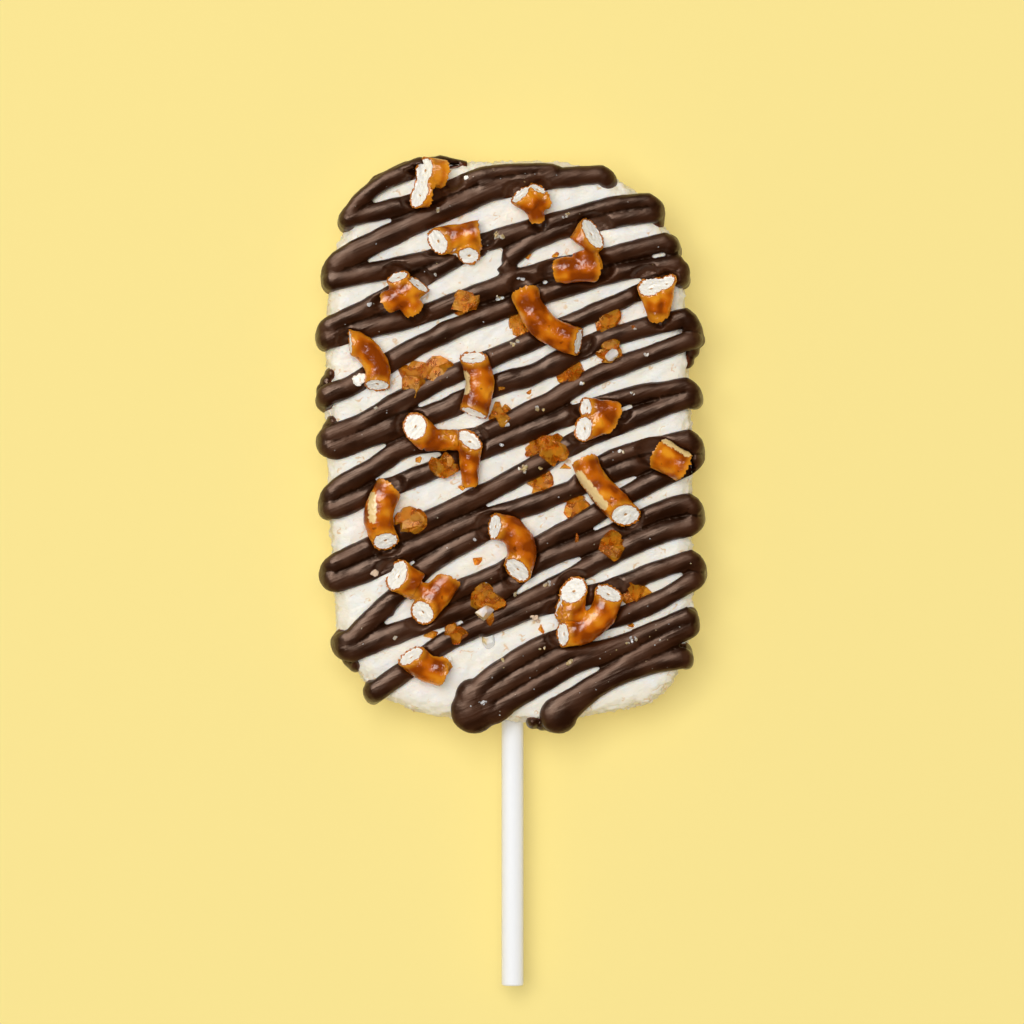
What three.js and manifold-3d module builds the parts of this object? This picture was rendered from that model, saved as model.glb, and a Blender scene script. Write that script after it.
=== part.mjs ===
// A marshmallow pop: a thick slab of marshmallow on a paper stick, drizzled from side to side with dark
// chocolate and scattered with broken pretzels and chips of toffee.
// Millimetres, +Z up. The pop lies on its back with its shown side up and its stick towards -Y. Plan
// positions below are measured from the middle of the slab.

import * as THREE from 'three';
import { mergeVertices } from 'three/addons/utils/BufferGeometryUtils.js';
import Module from 'manifold-3d';

// The slab of marshmallow
const slabThickness = 18;
const slabEdgeRadius = 3.2;
const slabCurveSteps = 6;
const slabBevelSteps = 3;

// The slab was poured and cut by hand, so each side bows and each corner has a curve of its own. Its outline
// starts on the top edge and goes round clockwise, as [control point, end point].
const outlineStart = [-17, 50.0];
const outlineCurves = [
  [[-4, 51.6], [10, 50.9]],
  [[30, 47.5], [31.6, 27]],
  [[33.4, 8], [33.1, -30]],
  [[33, -47.5], [20, -48.6]],
  [[4, -52.2], [-11, -49.8]],
  [[-29.5, -48.5], [-31.6, -31]],
  [[-33.5, -8], [-33.3, 20]],
  [[-33.5, 46], [-17, 50.0]],
];

// The paper stick, a standard 4 mm by 114 mm one, and how much of it shows below the foot of the slab
const stickRadius = 2;
const stickLength = 114;
const stickVisible = 48.3;
const stickOffset = 0.5;
const stickEndRound = 0.4;
const stickSides = 24;
const slabFoot = -51.1;

// Space left between pieces that touch
const gap = 0.3;

// The chocolate drizzle: a strand's usual width, how far it stands up from the top and sinks into it, and how
// far its turns hang down the side wall, slide towards the stick and swell
const strandWidth = 3.2;
const strandRise = 1.8;
const strandSink = 1.0;
const strandSides = 6;
const strandStations = 5;
const tipFullness = 0.6;
const turnHang = 5.5;
const turnSlide = 1.6;
const turnSwell = 1.2;

// How a turn goes over the edge: [share of the way out, share of the way down], at stations ending at its tip
const drape = [[0.7, 0.12], [1, 0.5], [1, 1]];

// Where the drizzle turns round over the edges, from the top of the pop to its foot: points on the side wall
const leftTurns = [
  [-29.8, 41.3], [-32.9, 30.6], [-33.9, 20.0], [-33.9, 8.8], [-33.8, 1.2],
  [-33.4, -10.8], [-33.2, -23.0], [-31.0, -35.6], [-25.6, -45.2],
];
const rightTurns = [
  [18.2, 48.2], [26.8, 43.0], [29.8, 36.2], [31.4, 31.0], [33.8, 20.8], [33.7, 9.2],
  [34.0, -0.2], [34.0, -11.8], [34.4, -22.2], [33.1, -31.4], [32.0, -38.6],
];

// Each pass of the drizzle: where its run across the top starts and ends, how far it bows towards the top of
// the pop half way along, and how far it sways to one side and then the other. leftTurn and rightTurn give
// the turn that it goes over the edge into; a pass without one ends in a round tip on the top.
const passes = [
  { left: [-28.6, 42.0], right: [-15.6, 50.4], bow: 1.0, sway: 0, leftTurn: 0, width: 2.8 },
  { left: [-28.7, 40.6], right: [9.4, 49.6], bow: 0.6, sway: -0.9, leftTurn: 0, width: 2.5 },
  { left: [-6.6, 47.0], right: [9.6, 49.0], bow: -0.3, sway: 0, width: 2.6 },
  { left: [-30.6, 32.8], right: [16.6, 48.8], bow: 3.5, sway: 0.1, leftTurn: 1, rightTurn: 0, width: 3.6 },
  { left: [-31.6, 29.4], right: [25.0, 44.2], bow: -0.2, sway: -0.4, leftTurn: 1, rightTurn: 1 },
  { left: [-1.3, 32.6], right: [25.0, 41.6], bow: 1.6, sway: 0.4, rightTurn: 1, width: 2.8 },
  { left: [-32.0, 22.4], right: [-3.6, 35.8], bow: 0.1, sway: -0.1, leftTurn: 2 },
  { left: [-32.2, 19.0], right: [28.2, 36.3], bow: 0.6, sway: -0.5, leftTurn: 2, rightTurn: 2 },
  { left: [-32.4, 9.2], right: [30.4, 32.3], bow: 3.8, sway: -0.2, leftTurn: 3, rightTurn: 3, width: 2.8 },
  { left: [-31.6, 1.8], right: [30.0, 30.0], bow: 1.2, sway: 0.2, leftTurn: 4, rightTurn: 3 },
  { left: [-31.6, -1.3], right: [31.8, 23.4], bow: 0.6, sway: 0, leftTurn: 4, rightTurn: 4 },
  { left: [-31.4, -8.6], right: [-1.8, 9.9], bow: 0.3, sway: -0.5, leftTurn: 5 },
  { left: [-8.2, -1.0], right: [32.2, 18.0], bow: 2.1, sway: 0, rightTurn: 4, width: 2.9 },
  { left: [-31.4, -12.1], right: [32.0, 10.3], bow: 1.7, sway: -0.6, leftTurn: 5, rightTurn: 5, width: 2.9 },
  { left: [-31.0, -21.6], right: [32.4, 8.0], bow: 0.8, sway: -0.7, leftTurn: 6, rightTurn: 5 },
  { left: [-31.6, -26.0], right: [28.0, -2.6], bow: 0.8, sway: 0.3, leftTurn: 6, width: 3.2 },
  { left: [-29.2, -35.2], right: [1.8, -13.4], bow: 2.3, sway: -0.3, leftTurn: 7 },
  { left: [8.4, -9.0], right: [32.6, 0.4], bow: 2.2, sway: 0.2, rightTurn: 6 },
  { left: [-13.4, -29.2], right: [32.0, -4.4], bow: 0.4, sway: -0.5, rightTurn: 6, width: 2.8 },
  { left: [-28.6, -38.0], right: [32.6, -11.0], bow: 0.5, sway: -0.8, leftTurn: 7, rightTurn: 7, width: 3.2 },
  { left: [-24.2, -45.0], right: [32.6, -15.0], bow: 3.1, sway: 0.1, leftTurn: 8, rightTurn: 7, width: 3.2 },
  { left: [-9.8, -36.0], right: [33.0, -20.4], bow: 0.4, sway: -0.4, rightTurn: 8, width: 2.9 },
  { left: [-7.0, -46.4], right: [33.0, -25.4], bow: 2.3, sway: 1.5, rightTurn: 8, width: 3.3 },
  { left: [-5.4, -49.0], right: [32.4, -31.0], bow: 1.7, sway: 1.2, rightTurn: 9, width: 3.4 },
  { left: [-3.8, -50.4], right: [27.3, -35.1], bow: 1.9, sway: 0.7, width: 3.2 },
  { left: [8.2, -49.4], right: [32.0, -34.4], bow: 1.7, sway: 0.4, rightTurn: 9, width: 4.4 },
  { left: [17.0, -42.2], right: [31.2, -38.8], bow: 0.3, sway: 0, rightTurn: 10, width: 3.2 },
];

// Chocolate that ran over the foot of the slab, as [x, y, half width], and hangs there
const footBlobs = [[-6.5, -49.0, 4.1], [8.1, -50.0, 3.2]];
const blobHang = 6;
const blobSides = 10;
const blobRings = 8;

// A strand that slid down behind the top left corner, as [x, y, depth below the top]
const slippedStrand = [
  [-27.0, 44.4, -3.4], [-23.8, 47.0, -3.4], [-18.6, 49.6, -3.0], [-12.6, 50.8, -2.4], [-8.0, 50.2, -2.4],
];
const slippedWidth = 2.6;

// Chips of toffee that stuck to the top, as [x, y, half width, half length, height of the middle]
const chips = [
  [-7.6, 24.9, 2.3, 2.2, 0.3], [-17.3, 11.8, 2.3, 2.3, 0.2], [-13.1, 13.8, 2.2, 2.3, 0.5],
  [-11.8, -4.4, 2.2, 1.9, 1.2], [18.4, 16.4, 2.1, 2.3, 1.2], [17.4, 21.8, 2.2, 2.0, 0.5],
  [1.4, 21.4, 1.6, 1.6, 0.1], [-1.9, 5.3, 1.7, 1.6, 0.2], [7.8, -0.7, 2.2, 2.2, 1.0],
  [4.4, -0.9, 1.8, 1.5, 0.2], [5.6, -7.6, 2.0, 2.1, 0.3], [-18.2, -14.0, 2.0, 2.1, 0.7],
  [12.2, -11.8, 2.0, 2.0, 0.3], [18.6, -18.6, 1.9, 2.0, 1.4], [-4.3, -29.4, 2.3, 3.9, 1.2],
  [22.6, -27.6, 2.2, 2.1, 0.3], [11.2, 12.6, 2.8, 1.8, 0.2], [-10.2, -34.6, 1.5, 1.5, 1.4],
];
const chipHeight = 1.3;

// Broken pretzels. Each is one or more limbs of the baked rope that ran through it. A limb is a path over the
// slab as [x, y], with a radius at each end, and its ends are where it broke. A start or an end given as
// [facing, lean] is a slanted break: it looks towards a compass angle (0 is +X, 90 is +Y) and leans back from
// upright by a number of degrees, so that it shows from above. Other ends are square to their limb.
const ropeRadius = 2.4;
const ropeSides = 8;
const bits = [
  {
    name: 'pretzel_01',
    limbs: [
      { path: [[-15.5, 49.5], [-11.6, 48.6]], radii: [2.3, 2.8], start: [167, 27] },
      { path: [[-17.7, 45.1], [-14.8, 44.9]], radii: [2.3, 2.2], start: [175, 31] },
    ],
  },
  {
    name: 'pretzel_02',
    limbs: [
      { path: [[1.8, 45.0], [4.7, 42.6]], radii: [2.3, 1.8], start: [135, 35] },
      { path: [[5.1, 46.4], [4.6, 43.1]], radii: [1.4, 1.8], start: [70, 35] },
      { path: [[4.4, 43.4], [5.3, 39.9]], radii: [1.9, 0.9] },
      { path: [[4.4, 43.5], [7.2, 44.2]], radii: [2.0, 1.2] },
    ],
  },
  {
    name: 'pretzel_03',
    limbs: [
      { path: [[-13.1, 36.4], [-5.3, 37.7]], radii: [2.5, 2.6], start: [205, 38] },
      { path: [[-7.3, 33.5], [-7.6, 37.5]], radii: [2.0, 2.4], start: [265, 38] },
    ],
  },
  {
    name: 'pretzel_04',
    limbs: [
      { path: [[15.2, 37.8], [13.4, 35.6]], radii: [2.8, 2.4], start: [40, 24] },
      { path: [[14.0, 36.2], [14.6, 30.6]], radii: [2.2, 2.2] },
      { path: [[8.0, 31.1], [15.8, 31.4]], radii: [2.2, 2.3] },
    ],
  },
  {
    name: 'pretzel_05',
    limbs: [
      { path: [[-19.8, 30.0], [-19.3, 26.6]], radii: [1.9, 2.0], start: [105, 40] },
      { path: [[-16.6, 28.8], [-19.3, 26.4]], radii: [2.2, 2.0], start: [50, 25] },
      { path: [[-19.2, 26.6], [-22.8, 25.3]], radii: [2.1, 2.0] },
      { path: [[-19.2, 26.6], [-16.4, 23.8]], radii: [2.1, 1.8] },
    ],
  },
  {
    name: 'pretzel_06',
    limbs: [
      {
        path: [[2.5, 28.0], [3.5, 24.9], [5.6, 21.7], [8.6, 19.5], [12.5, 18.4]],
        radii: [2.5, 2.5],
        end: [350, 12],
      },
    ],
  },
  {
    name: 'pretzel_07',
    limbs: [
      { path: [[25.8, 28.2], [27.5, 22.2]], radii: [3.1, 1.0], start: [110, 29] },
      { path: [[29.2, 29.0], [28.8, 24.8]], radii: [1.5, 1.2] },
    ],
  },
  {
    name: 'pretzel_08',
    limbs: [
      {
        path: [[-27.8, 18.5], [-25.6, 17.0], [-24.1, 14.4], [-23.8, 10.2]],
        radii: [2.2, 2.4],
        end: [268, 20],
      },
    ],
  },
  {
    name: 'pretzel_09',
    limbs: [
      {
        path: [[-6.7, 15.5], [-5.8, 11.8], [-5.6, 8.8], [-6.6, 5.1]],
        radii: [2.4, 2.4],
        start: [95, 20],
        end: [250, 8],
      },
    ],
  },
  {
    name: 'pretzel_10',
    limbs: [
      { path: [[-17.5, 3.1], [-14.4, 0.2]], radii: [2.5, 2.1], start: [145, 35] },
      { path: [[-15.4, 0.3], [-7.4, 0.4]], radii: [1.9, 1.8] },
      { path: [[-7.1, 0.2], [-7.7, -4.2], [-7.8, -8.2]], radii: [2.8, 1.2], start: [60, 29] },
    ],
  },
  {
    name: 'pretzel_11',
    limbs: [
      { path: [[13.5, 6.1], [20.2, 5.3]], radii: [2.2, 1.4], start: [178, 32] },
      { path: [[13.3, 2.0], [16.2, 3.4]], radii: [2.2, 2.0], start: [188, 35] },
      { path: [[15.8, 5.2], [18.7, 2.3]], radii: [2.2, 1.5] },
    ],
  },
  {
    name: 'pretzel_12',
    limbs: [
      { path: [[28.2, -0.6], [30.1, -6.2]], radii: [2.2, 2.2] },
      { path: [[26.2, -4.9], [31.9, -3.4]], radii: [2.2, 2.2], end: [40, 20] },
    ],
  },
  {
    name: 'pretzel_13',
    limbs: [
      {
        path: [[-21.3, -8.4], [-23.2, -10.9], [-23.7, -14.4], [-22.4, -18.2]],
        radii: [2.2, 2.3],
        start: [57, 0],
        end: [285, 25],
      },
    ],
  },
  {
    name: 'pretzel_14',
    limbs: [
      {
        path: [[13.5, -3.1], [14.8, -6.4], [17.2, -9.2], [21.7, -13.1]],
        radii: [2.3, 2.5],
        end: [300, 36],
      },
    ],
  },
  {
    name: 'pretzel_15',
    limbs: [
      {
        path: [[-2.9, -15.3], [-0.2, -15.9], [1.7, -17.9], [2.2, -20.6], [1.3, -23.5]],
        radii: [2.5, 2.7],
        start: [172, 25],
        end: [237, 23],
      },
    ],
  },
  {
    name: 'pretzel_16',
    limbs: [
      { path: [[-20.6, -24.6], [-16.9, -26.4]], radii: [3.0, 2.4], start: [155, 29] },
      { path: [[-17.6, -26.8], [-14.0, -27.4]], radii: [1.7, 1.7] },
      { path: [[-15.7, -30.8], [-13.2, -28.2], [-11.0, -24.8]], radii: [2.4, 2.3], start: [215, 30] },
    ],
  },
  {
    name: 'pretzel_17',
    limbs: [
      { path: [[11.5, -26.6], [10.8, -32.4]], radii: [2.6, 2.1], start: [95, 42] },
      { path: [[9.5, -31.0], [11.6, -31.0]], radii: [2.0, 1.8], start: [182, 30] },
      {
        path: [[9.6, -34.8], [13.3, -34.0], [16.4, -31.7], [18.4, -28.2]],
        radii: [2.4, 2.4],
        start: [185, 25],
        end: [62, 27],
      },
    ],
  },
  {
    name: 'pretzel_18',
    limbs: [
      { path: [[-18.0, -38.9], [-15.5, -41.1], [-11.8, -42.3]], radii: [2.4, 2.4], start: [129, 25] },
      { path: [[-12.7, -41.9], [-11.0, -39.8]], radii: [1.6, 1.4], end: [60, 30] },
    ],
  },
];
const bitRest = 0.5;

// Colour and roughness of each material. The drizzle is one solid with the marshmallow and takes its colour.
const marshmallowLook = { color: '#f3ece0', roughness: 0.85 };
const pretzelLook = { color: '#b5600f', roughness: 0.35 };
const paperLook = { color: '#f6f5f2', roughness: 0.7 };

const wasm = await Module();
wasm.setup();
const { Manifold, Mesh } = wasm;

// A three.js geometry as a solid that can be joined and cut
function solidFrom(geometry) {
  geometry.deleteAttribute('normal');
  geometry.deleteAttribute('uv');
  const merged = mergeVertices(geometry);
  return new Manifold(new Mesh({
    numProp: 3,
    vertProperties: new Float32Array(merged.attributes.position.array),
    triVerts: new Uint32Array(merged.index.array),
  }));
}

function geometryFrom(solid) {
  const mesh = solid.getMesh();
  const geometry = new THREE.BufferGeometry();
  geometry.setAttribute('position', new THREE.BufferAttribute(mesh.vertProperties, 3));
  geometry.setIndex(new THREE.BufferAttribute(mesh.triVerts, 1));
  geometry.computeVertexNormals();
  return geometry;
}

function joined(solids) {
  return solids.reduce((whole, solid) => whole.add(solid));
}

// The outer skin alone of the largest piece: sealed bubbles between strands fill up, and loose scraps go
function wholePiece(solid) {
  return solid.decompose().reduce((best, piece) => (piece.volume() > best.volume() ? piece : best));
}

// A cylinder bent along a curve. Its section is an oval, and size(t) gives its half width and half height at
// t, which runs from 0 to 1 along the curve. The width lies level, or along across where that is given.
function sweep(curve, size, sides, steps, across) {
  const geometry = new THREE.CylinderGeometry(1, 1, 1, sides, steps);
  const position = geometry.attributes.position;
  const up = new THREE.Vector3(0, 0, 1);
  const side = new THREE.Vector3();
  const lift = new THREE.Vector3();
  for (let i = 0; i < position.count; i += 1) {
    const t = THREE.MathUtils.clamp(position.getY(i) + 0.5, 0, 1);
    const point = curve.getPoint(t);
    const tangent = curve.getTangent(t);
    const [halfWidth, halfHeight] = size(t);
    lift.crossVectors(across ?? side.crossVectors(tangent, up), tangent).normalize();
    side.crossVectors(tangent, lift);
    point.addScaledVector(side, position.getX(i) * halfWidth);
    point.addScaledVector(lift, position.getZ(i) * halfHeight);
    position.setXYZ(i, point.x, point.y, point.z);
  }
  return solidFrom(geometry);
}

function makeSlab() {
  const outline = new THREE.Shape();
  outline.moveTo(...outlineStart);
  for (const [control, end] of outlineCurves) {
    outline.quadraticCurveTo(...control, ...end);
  }
  const geometry = new THREE.ExtrudeGeometry(outline, {
    depth: slabThickness - 2 * slabEdgeRadius,
    curveSegments: slabCurveSteps,
    bevelThickness: slabEdgeRadius,
    bevelSize: slabEdgeRadius,
    bevelOffset: -slabEdgeRadius,
    bevelSegments: slabBevelSteps,
  });
  geometry.translate(0, 0, slabEdgeRadius);
  return solidFrom(geometry);
}

// The run of a pass across the top, from left to right, at the height of the strand's middle
function runPoints(pass) {
  const height = slabThickness + (strandRise - strandSink) / 2;
  const points = [];
  for (let i = 0; i < strandStations; i += 1) {
    const t = i / (strandStations - 1);
    const x = THREE.MathUtils.lerp(pass.left[0], pass.right[0], t);
    const straight = THREE.MathUtils.lerp(pass.left[1], pass.right[1], t);
    const bow = 4 * pass.bow * t * (1 - t);
    const sway = pass.sway * Math.sin(2 * Math.PI * t);
    points.push(new THREE.Vector3(x, straight + bow + sway, height));
  }
  return points;
}

// From the end of a run over the edge and down the side wall, to a tip a little nearer the stick
function turnPoints(run, [x, y]) {
  const tip = new THREE.Vector3(x, y - turnSlide, slabThickness - turnHang);
  return drape.map(([out, down]) => new THREE.Vector3(
    THREE.MathUtils.lerp(run.x, tip.x, out),
    THREE.MathUtils.lerp(run.y, tip.y, down),
    THREE.MathUtils.lerp(run.z, tip.z, down),
  ));
}

// A strand along the points, with a ring at each, that narrows at both ends. Its width swells where it hangs.
function drizzle(points, width, height, hangsLeft, hangsRight) {
  const last = points.length - 1;
  const along = points[last].clone().sub(points[0]);
  const across = new THREE.Vector3(-along.y, along.x, 0);
  const size = (t) => {
    const ring = Math.round(t * last);
    const hangs = (hangsLeft && ring < drape.length) || (hangsRight && ring > last - drape.length);
    const full = ring === 0 || ring === last ? tipFullness : 1;
    return [width / 2 * full * (hangs ? turnSwell : 1), height / 2 * full];
  };
  return sweep(new THREE.CatmullRomCurve3(points), size, strandSides, last, across);
}

function makeStrand(pass) {
  const run = runPoints(pass);
  const hangsLeft = pass.leftTurn !== undefined;
  const hangsRight = pass.rightTurn !== undefined;
  const overLeft = hangsLeft ? turnPoints(run[0], leftTurns[pass.leftTurn]) : [];
  const overRight = hangsRight ? turnPoints(run.at(-1), rightTurns[pass.rightTurn]) : [];
  const points = [...overLeft.reverse(), ...run, ...overRight];
  return drizzle(points, pass.width ?? strandWidth, strandRise + strandSink, hangsLeft, hangsRight);
}

function makeBlob([x, y, radius]) {
  const geometry = new THREE.SphereGeometry(1, blobSides, blobRings);
  geometry.scale(radius, radius, blobHang);
  geometry.translate(x, y, slabThickness + strandRise - blobHang);
  return solidFrom(geometry);
}

function makeSlippedStrand() {
  const points = slippedStrand.map(([x, y, depth]) => new THREE.Vector3(x, y, slabThickness + depth));
  return drizzle(points, slippedWidth, slippedWidth, false, false);
}

function makeChip([x, y, halfWidth, halfLength, height]) {
  const geometry = new THREE.IcosahedronGeometry(1, 0);
  geometry.scale(halfWidth, halfLength, chipHeight);
  geometry.translate(x, y, slabThickness + height);
  return solidFrom(geometry);
}

// The plane of a break, through one end of a limb: its outward direction and how far it lies along that
function breakPlane(point, away, slant) {
  const [facing, lean] = slant ?? [THREE.MathUtils.radToDeg(Math.atan2(away.y, away.x)), 0];
  const azimuth = THREE.MathUtils.degToRad(facing);
  const slope = THREE.MathUtils.degToRad(lean);
  const outward = new THREE.Vector3(
    Math.cos(azimuth) * Math.cos(slope),
    Math.sin(azimuth) * Math.cos(slope),
    Math.sin(slope),
  );
  return [outward, outward.dot(point)];
}

// One limb of a pretzel, run on past its ends and then trimmed to its breaks. grow makes it larger all round.
function makeLimb({ path, radii, start, end }, grow) {
  const points = path.map(([x, y]) => new THREE.Vector3(x, y, slabThickness + bitRest + ropeRadius));
  const [first, last] = [points[0], points.at(-1)];
  const outAtFirst = first.clone().sub(points[1]).normalize();
  const outAtLast = last.clone().sub(points.at(-2)).normalize();
  const runOn = ropeRadius + grow;
  const longer = [
    first.clone().addScaledVector(outAtFirst, runOn),
    ...(points.length > 2 ? points.slice(1, -1) : []),
    last.clone().addScaledVector(outAtLast, runOn),
  ];
  const size = (t) => {
    const radius = THREE.MathUtils.lerp(radii[0], radii[1], t) + grow;
    return [radius, radius];
  };
  const steps = points.length === 2 ? 1 : points.length + 1;
  const breaks = [breakPlane(first, outAtFirst, start), breakPlane(last, outAtLast, end)];
  return breaks.reduce(
    (solid, [outward, reach]) => solid.trimByPlane(outward.negate().toArray(), -reach - grow),
    sweep(new THREE.CatmullRomCurve3(longer), size, ropeSides, steps),
  );
}

function makeBit(bit, grow) {
  return joined(bit.limbs.map((limb) => makeLimb(limb, grow)));
}

function makeStick(radius, length) {
  const profile = [
    new THREE.Vector2(0, 0),
    new THREE.Vector2(radius - stickEndRound, 0),
    new THREE.Vector2(radius, stickEndRound),
    new THREE.Vector2(radius, length - stickEndRound),
    new THREE.Vector2(radius - stickEndRound, length),
    new THREE.Vector2(0, length),
  ];
  const geometry = new THREE.LatheGeometry(profile, stickSides);
  geometry.translate(stickOffset, slabFoot - stickVisible, slabThickness / 2);
  return solidFrom(geometry);
}

function makeMarshmallow() {
  const chocolate = [
    ...passes.map(makeStrand),
    ...footBlobs.map(makeBlob),
    makeSlippedStrand(),
  ];
  const dressed = joined([makeSlab(), ...chocolate, ...chips.map(makeChip)]);
  const rooms = bits.map((bit) => makeBit(bit, gap));
  const socket = makeStick(stickRadius + gap, stickLength + gap);
  const fitted = [...rooms, socket].reduce((solid, room) => solid.subtract(room), dressed);
  return wholePiece(fitted);
}

function meshOf(name, solid, look) {
  const material = new THREE.MeshStandardMaterial({ ...look, metalness: 0 });
  const mesh = new THREE.Mesh(geometryFrom(solid), material);
  mesh.name = name;
  return mesh;
}

const pop = new THREE.Group();
pop.add(meshOf('marshmallow', makeMarshmallow(), marshmallowLook));
pop.add(meshOf('stick', makeStick(stickRadius, stickLength), paperLook));
for (const bit of bits) {
  pop.add(meshOf(bit.name, makeBit(bit, 0), pretzelLook));
}

// The origin is under the middle of the whole pop, on the surface that it lies on.
const bounds = new THREE.Box3().setFromObject(pop);
const middle = bounds.getCenter(new THREE.Vector3());
pop.position.set(-middle.x, -middle.y, -bounds.min.z);

const group = new THREE.Group();
group.add(pop);

export default group;
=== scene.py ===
# %% [markdown]
# # A marshmallow pop
# A slab of marshmallow on a paper stick, drizzled with dark chocolate and scattered with broken pretzels,
# chips of toffee and grains of sugar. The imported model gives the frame: every piece below is modelled where
# its solid lies, so nothing is fitted afterwards.

# %% Load the frame
import math
import random

import bmesh
import bpy
from mathutils import Matrix, Vector, noise
from mathutils.bvhtree import BVHTree
from mathutils.kdtree import KDTree


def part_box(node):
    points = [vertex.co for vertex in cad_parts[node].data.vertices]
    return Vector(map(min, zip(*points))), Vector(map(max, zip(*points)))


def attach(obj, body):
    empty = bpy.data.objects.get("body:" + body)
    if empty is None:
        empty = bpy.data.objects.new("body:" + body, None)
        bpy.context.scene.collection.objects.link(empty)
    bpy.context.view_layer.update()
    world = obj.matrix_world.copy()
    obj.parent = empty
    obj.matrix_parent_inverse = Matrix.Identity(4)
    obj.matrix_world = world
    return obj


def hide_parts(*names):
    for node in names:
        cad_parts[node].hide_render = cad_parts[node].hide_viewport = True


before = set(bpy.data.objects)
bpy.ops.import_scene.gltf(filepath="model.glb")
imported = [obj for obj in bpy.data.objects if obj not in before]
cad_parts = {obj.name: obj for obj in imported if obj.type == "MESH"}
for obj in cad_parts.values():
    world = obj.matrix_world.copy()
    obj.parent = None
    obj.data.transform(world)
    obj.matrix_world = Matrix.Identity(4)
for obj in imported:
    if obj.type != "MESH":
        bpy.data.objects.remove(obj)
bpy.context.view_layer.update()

# %% [markdown]
# The pop is easiest to describe on its own plan, in millimetres from the middle of the slab, seen from above.
# The stick's solid tells where that plan lies in the frame. Each piece is modelled in plan millimetres, and
# its mesh is brought into the frame, in metres, at the very end, so its object stays at the origin.

# %% The plan
MM = 0.001
# The height of the slab's top, which is its thickness
SLAB_TOP = 18.0
STICK_RADIUS = 2.0
STICK_OFFSET = 0.5
STICK_FOOT = -99.4
STICK_TOP = 14.6

stick_low, stick_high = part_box("stick")
plan_x = (stick_low.x + stick_high.x) / 2 / MM - STICK_OFFSET
plan_y = stick_low.y / MM - STICK_FOOT
PLAN_TO_FRAME = Matrix.Scale(MM, 4) @ Matrix.Translation((plan_x, plan_y, 0))
print("the plan's origin is at", round(plan_x, 2), round(plan_y, 2), "mm in the frame")


# %% [markdown]
# A few small helpers serve every piece. One runs a bmesh through a modifier, because fusing by voxels,
# swelling and thinning a skin are modifiers and not operators. One pours a bmesh into another, so that parts
# can be built apart and fused together. The last makes the finished object: it brings the mesh into the
# frame, lets it ride, hides the solids it takes the place of, and prints its size.

# %% Helpers that every piece uses
def mesh_of(name, bm):
    """A mesh of the shapes in bm, which is used up."""
    mesh = bpy.data.meshes.new(name)
    bm.to_mesh(mesh)
    bm.free()
    return mesh


def linked(name, data):
    """A new object in the scene that holds the data."""
    item = bpy.data.objects.new(name, data)
    bpy.context.scene.collection.objects.link(item)
    return item


def through(bm, kind, **settings):
    """The bmesh that comes out when one modifier has run on bm."""
    mesh = mesh_of("work", bm)
    work = linked("work", mesh)
    modifier = work.modifiers.new("work", kind)
    for name, value in settings.items():
        setattr(modifier, name, value)
    result = bmesh.new()
    result.from_object(work, bpy.context.evaluated_depsgraph_get())
    bpy.data.objects.remove(work)
    bpy.data.meshes.remove(mesh)
    return result


def smoothed(bm, times):
    return through(bm, "SMOOTH", factor=0.5, iterations=times)


def fused(bm, voxel, smoothings):
    """The shapes in bm as one skin of even small faces, smoothed a little."""
    return smoothed(through(bm, "REMESH", mode="VOXEL", voxel_size=voxel), smoothings)


def poured(target, bm):
    """Adds the shapes in bm to target."""
    mesh = mesh_of("work", bm)
    target.from_mesh(mesh)
    bpy.data.meshes.remove(mesh)


def finished(bm, name, material, slot, *nodes, smooth=True):
    """Makes the piece, in the frame, riding on the pop, with the solids it takes the place of hidden."""
    bmesh.ops.transform(bm, matrix=PLAN_TO_FRAME, verts=bm.verts)
    for face in bm.faces:
        face.smooth = smooth
    mesh = mesh_of(name, bm)
    mesh.materials.append(material)
    piece = linked(name, mesh)
    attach(piece, "root")
    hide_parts(*nodes)
    triangles = sum(len(polygon.vertices) - 2 for polygon in mesh.polygons)
    print(name, "has", triangles, "triangles, in mm", [round(side / MM, 1) for side in piece.dimensions])


# %% [markdown]
# Chocolate strands and baked pretzel rope are both tubes that bend and swell. A curve with a bevel would make
# them too, but its section keeps one shape. Here a ring is extruded from station to station instead, so that
# each station has its own width and height.

# %% A tube of changing section
def only(kind, geom):
    """The parts of geom that are of one kind."""
    return [part for part in geom if isinstance(part, kind)]


def station(spine, i, across, half_width, half_height):
    """The matrix that puts a unit ring at one point of the spine, square to it."""
    ahead = spine[min(i + 1, len(spine) - 1)]
    behind = spine[max(i - 1, 0)]
    along = (ahead - behind).normalized()
    lift = (across or along.cross(Vector((0, 0, 1)))).cross(along).normalized()
    side = along.cross(lift)
    basis = Matrix((side * half_width, lift * half_height, along)).transposed().to_4x4()
    return Matrix.Translation(spine[i]) @ basis


def tube(spine, sizes, sides, across=None):
    """A closed tube along the spine. sizes holds (half width, half height) for each of its points, and
    across is the way its width runs, level and square to the spine where it isn't given."""
    bm = bmesh.new()
    places = [station(spine, i, across, *sizes[i]) for i in range(len(spine))]
    bmesh.ops.create_circle(bm, cap_ends=True, segments=sides, radius=1, matrix=places[0])
    rim = list(bm.edges)
    for before, now in zip(places, places[1:]):
        made = bmesh.ops.extrude_edge_only(bm, edges=rim)["geom"]
        rim = only(bmesh.types.BMEdge, made)
        bmesh.ops.transform(bm, matrix=now @ before.inverted(), verts=only(bmesh.types.BMVert, made))
    bmesh.ops.contextual_create(bm, geom=rim)
    bmesh.ops.recalc_face_normals(bm, faces=bm.faces)
    return bm


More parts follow.
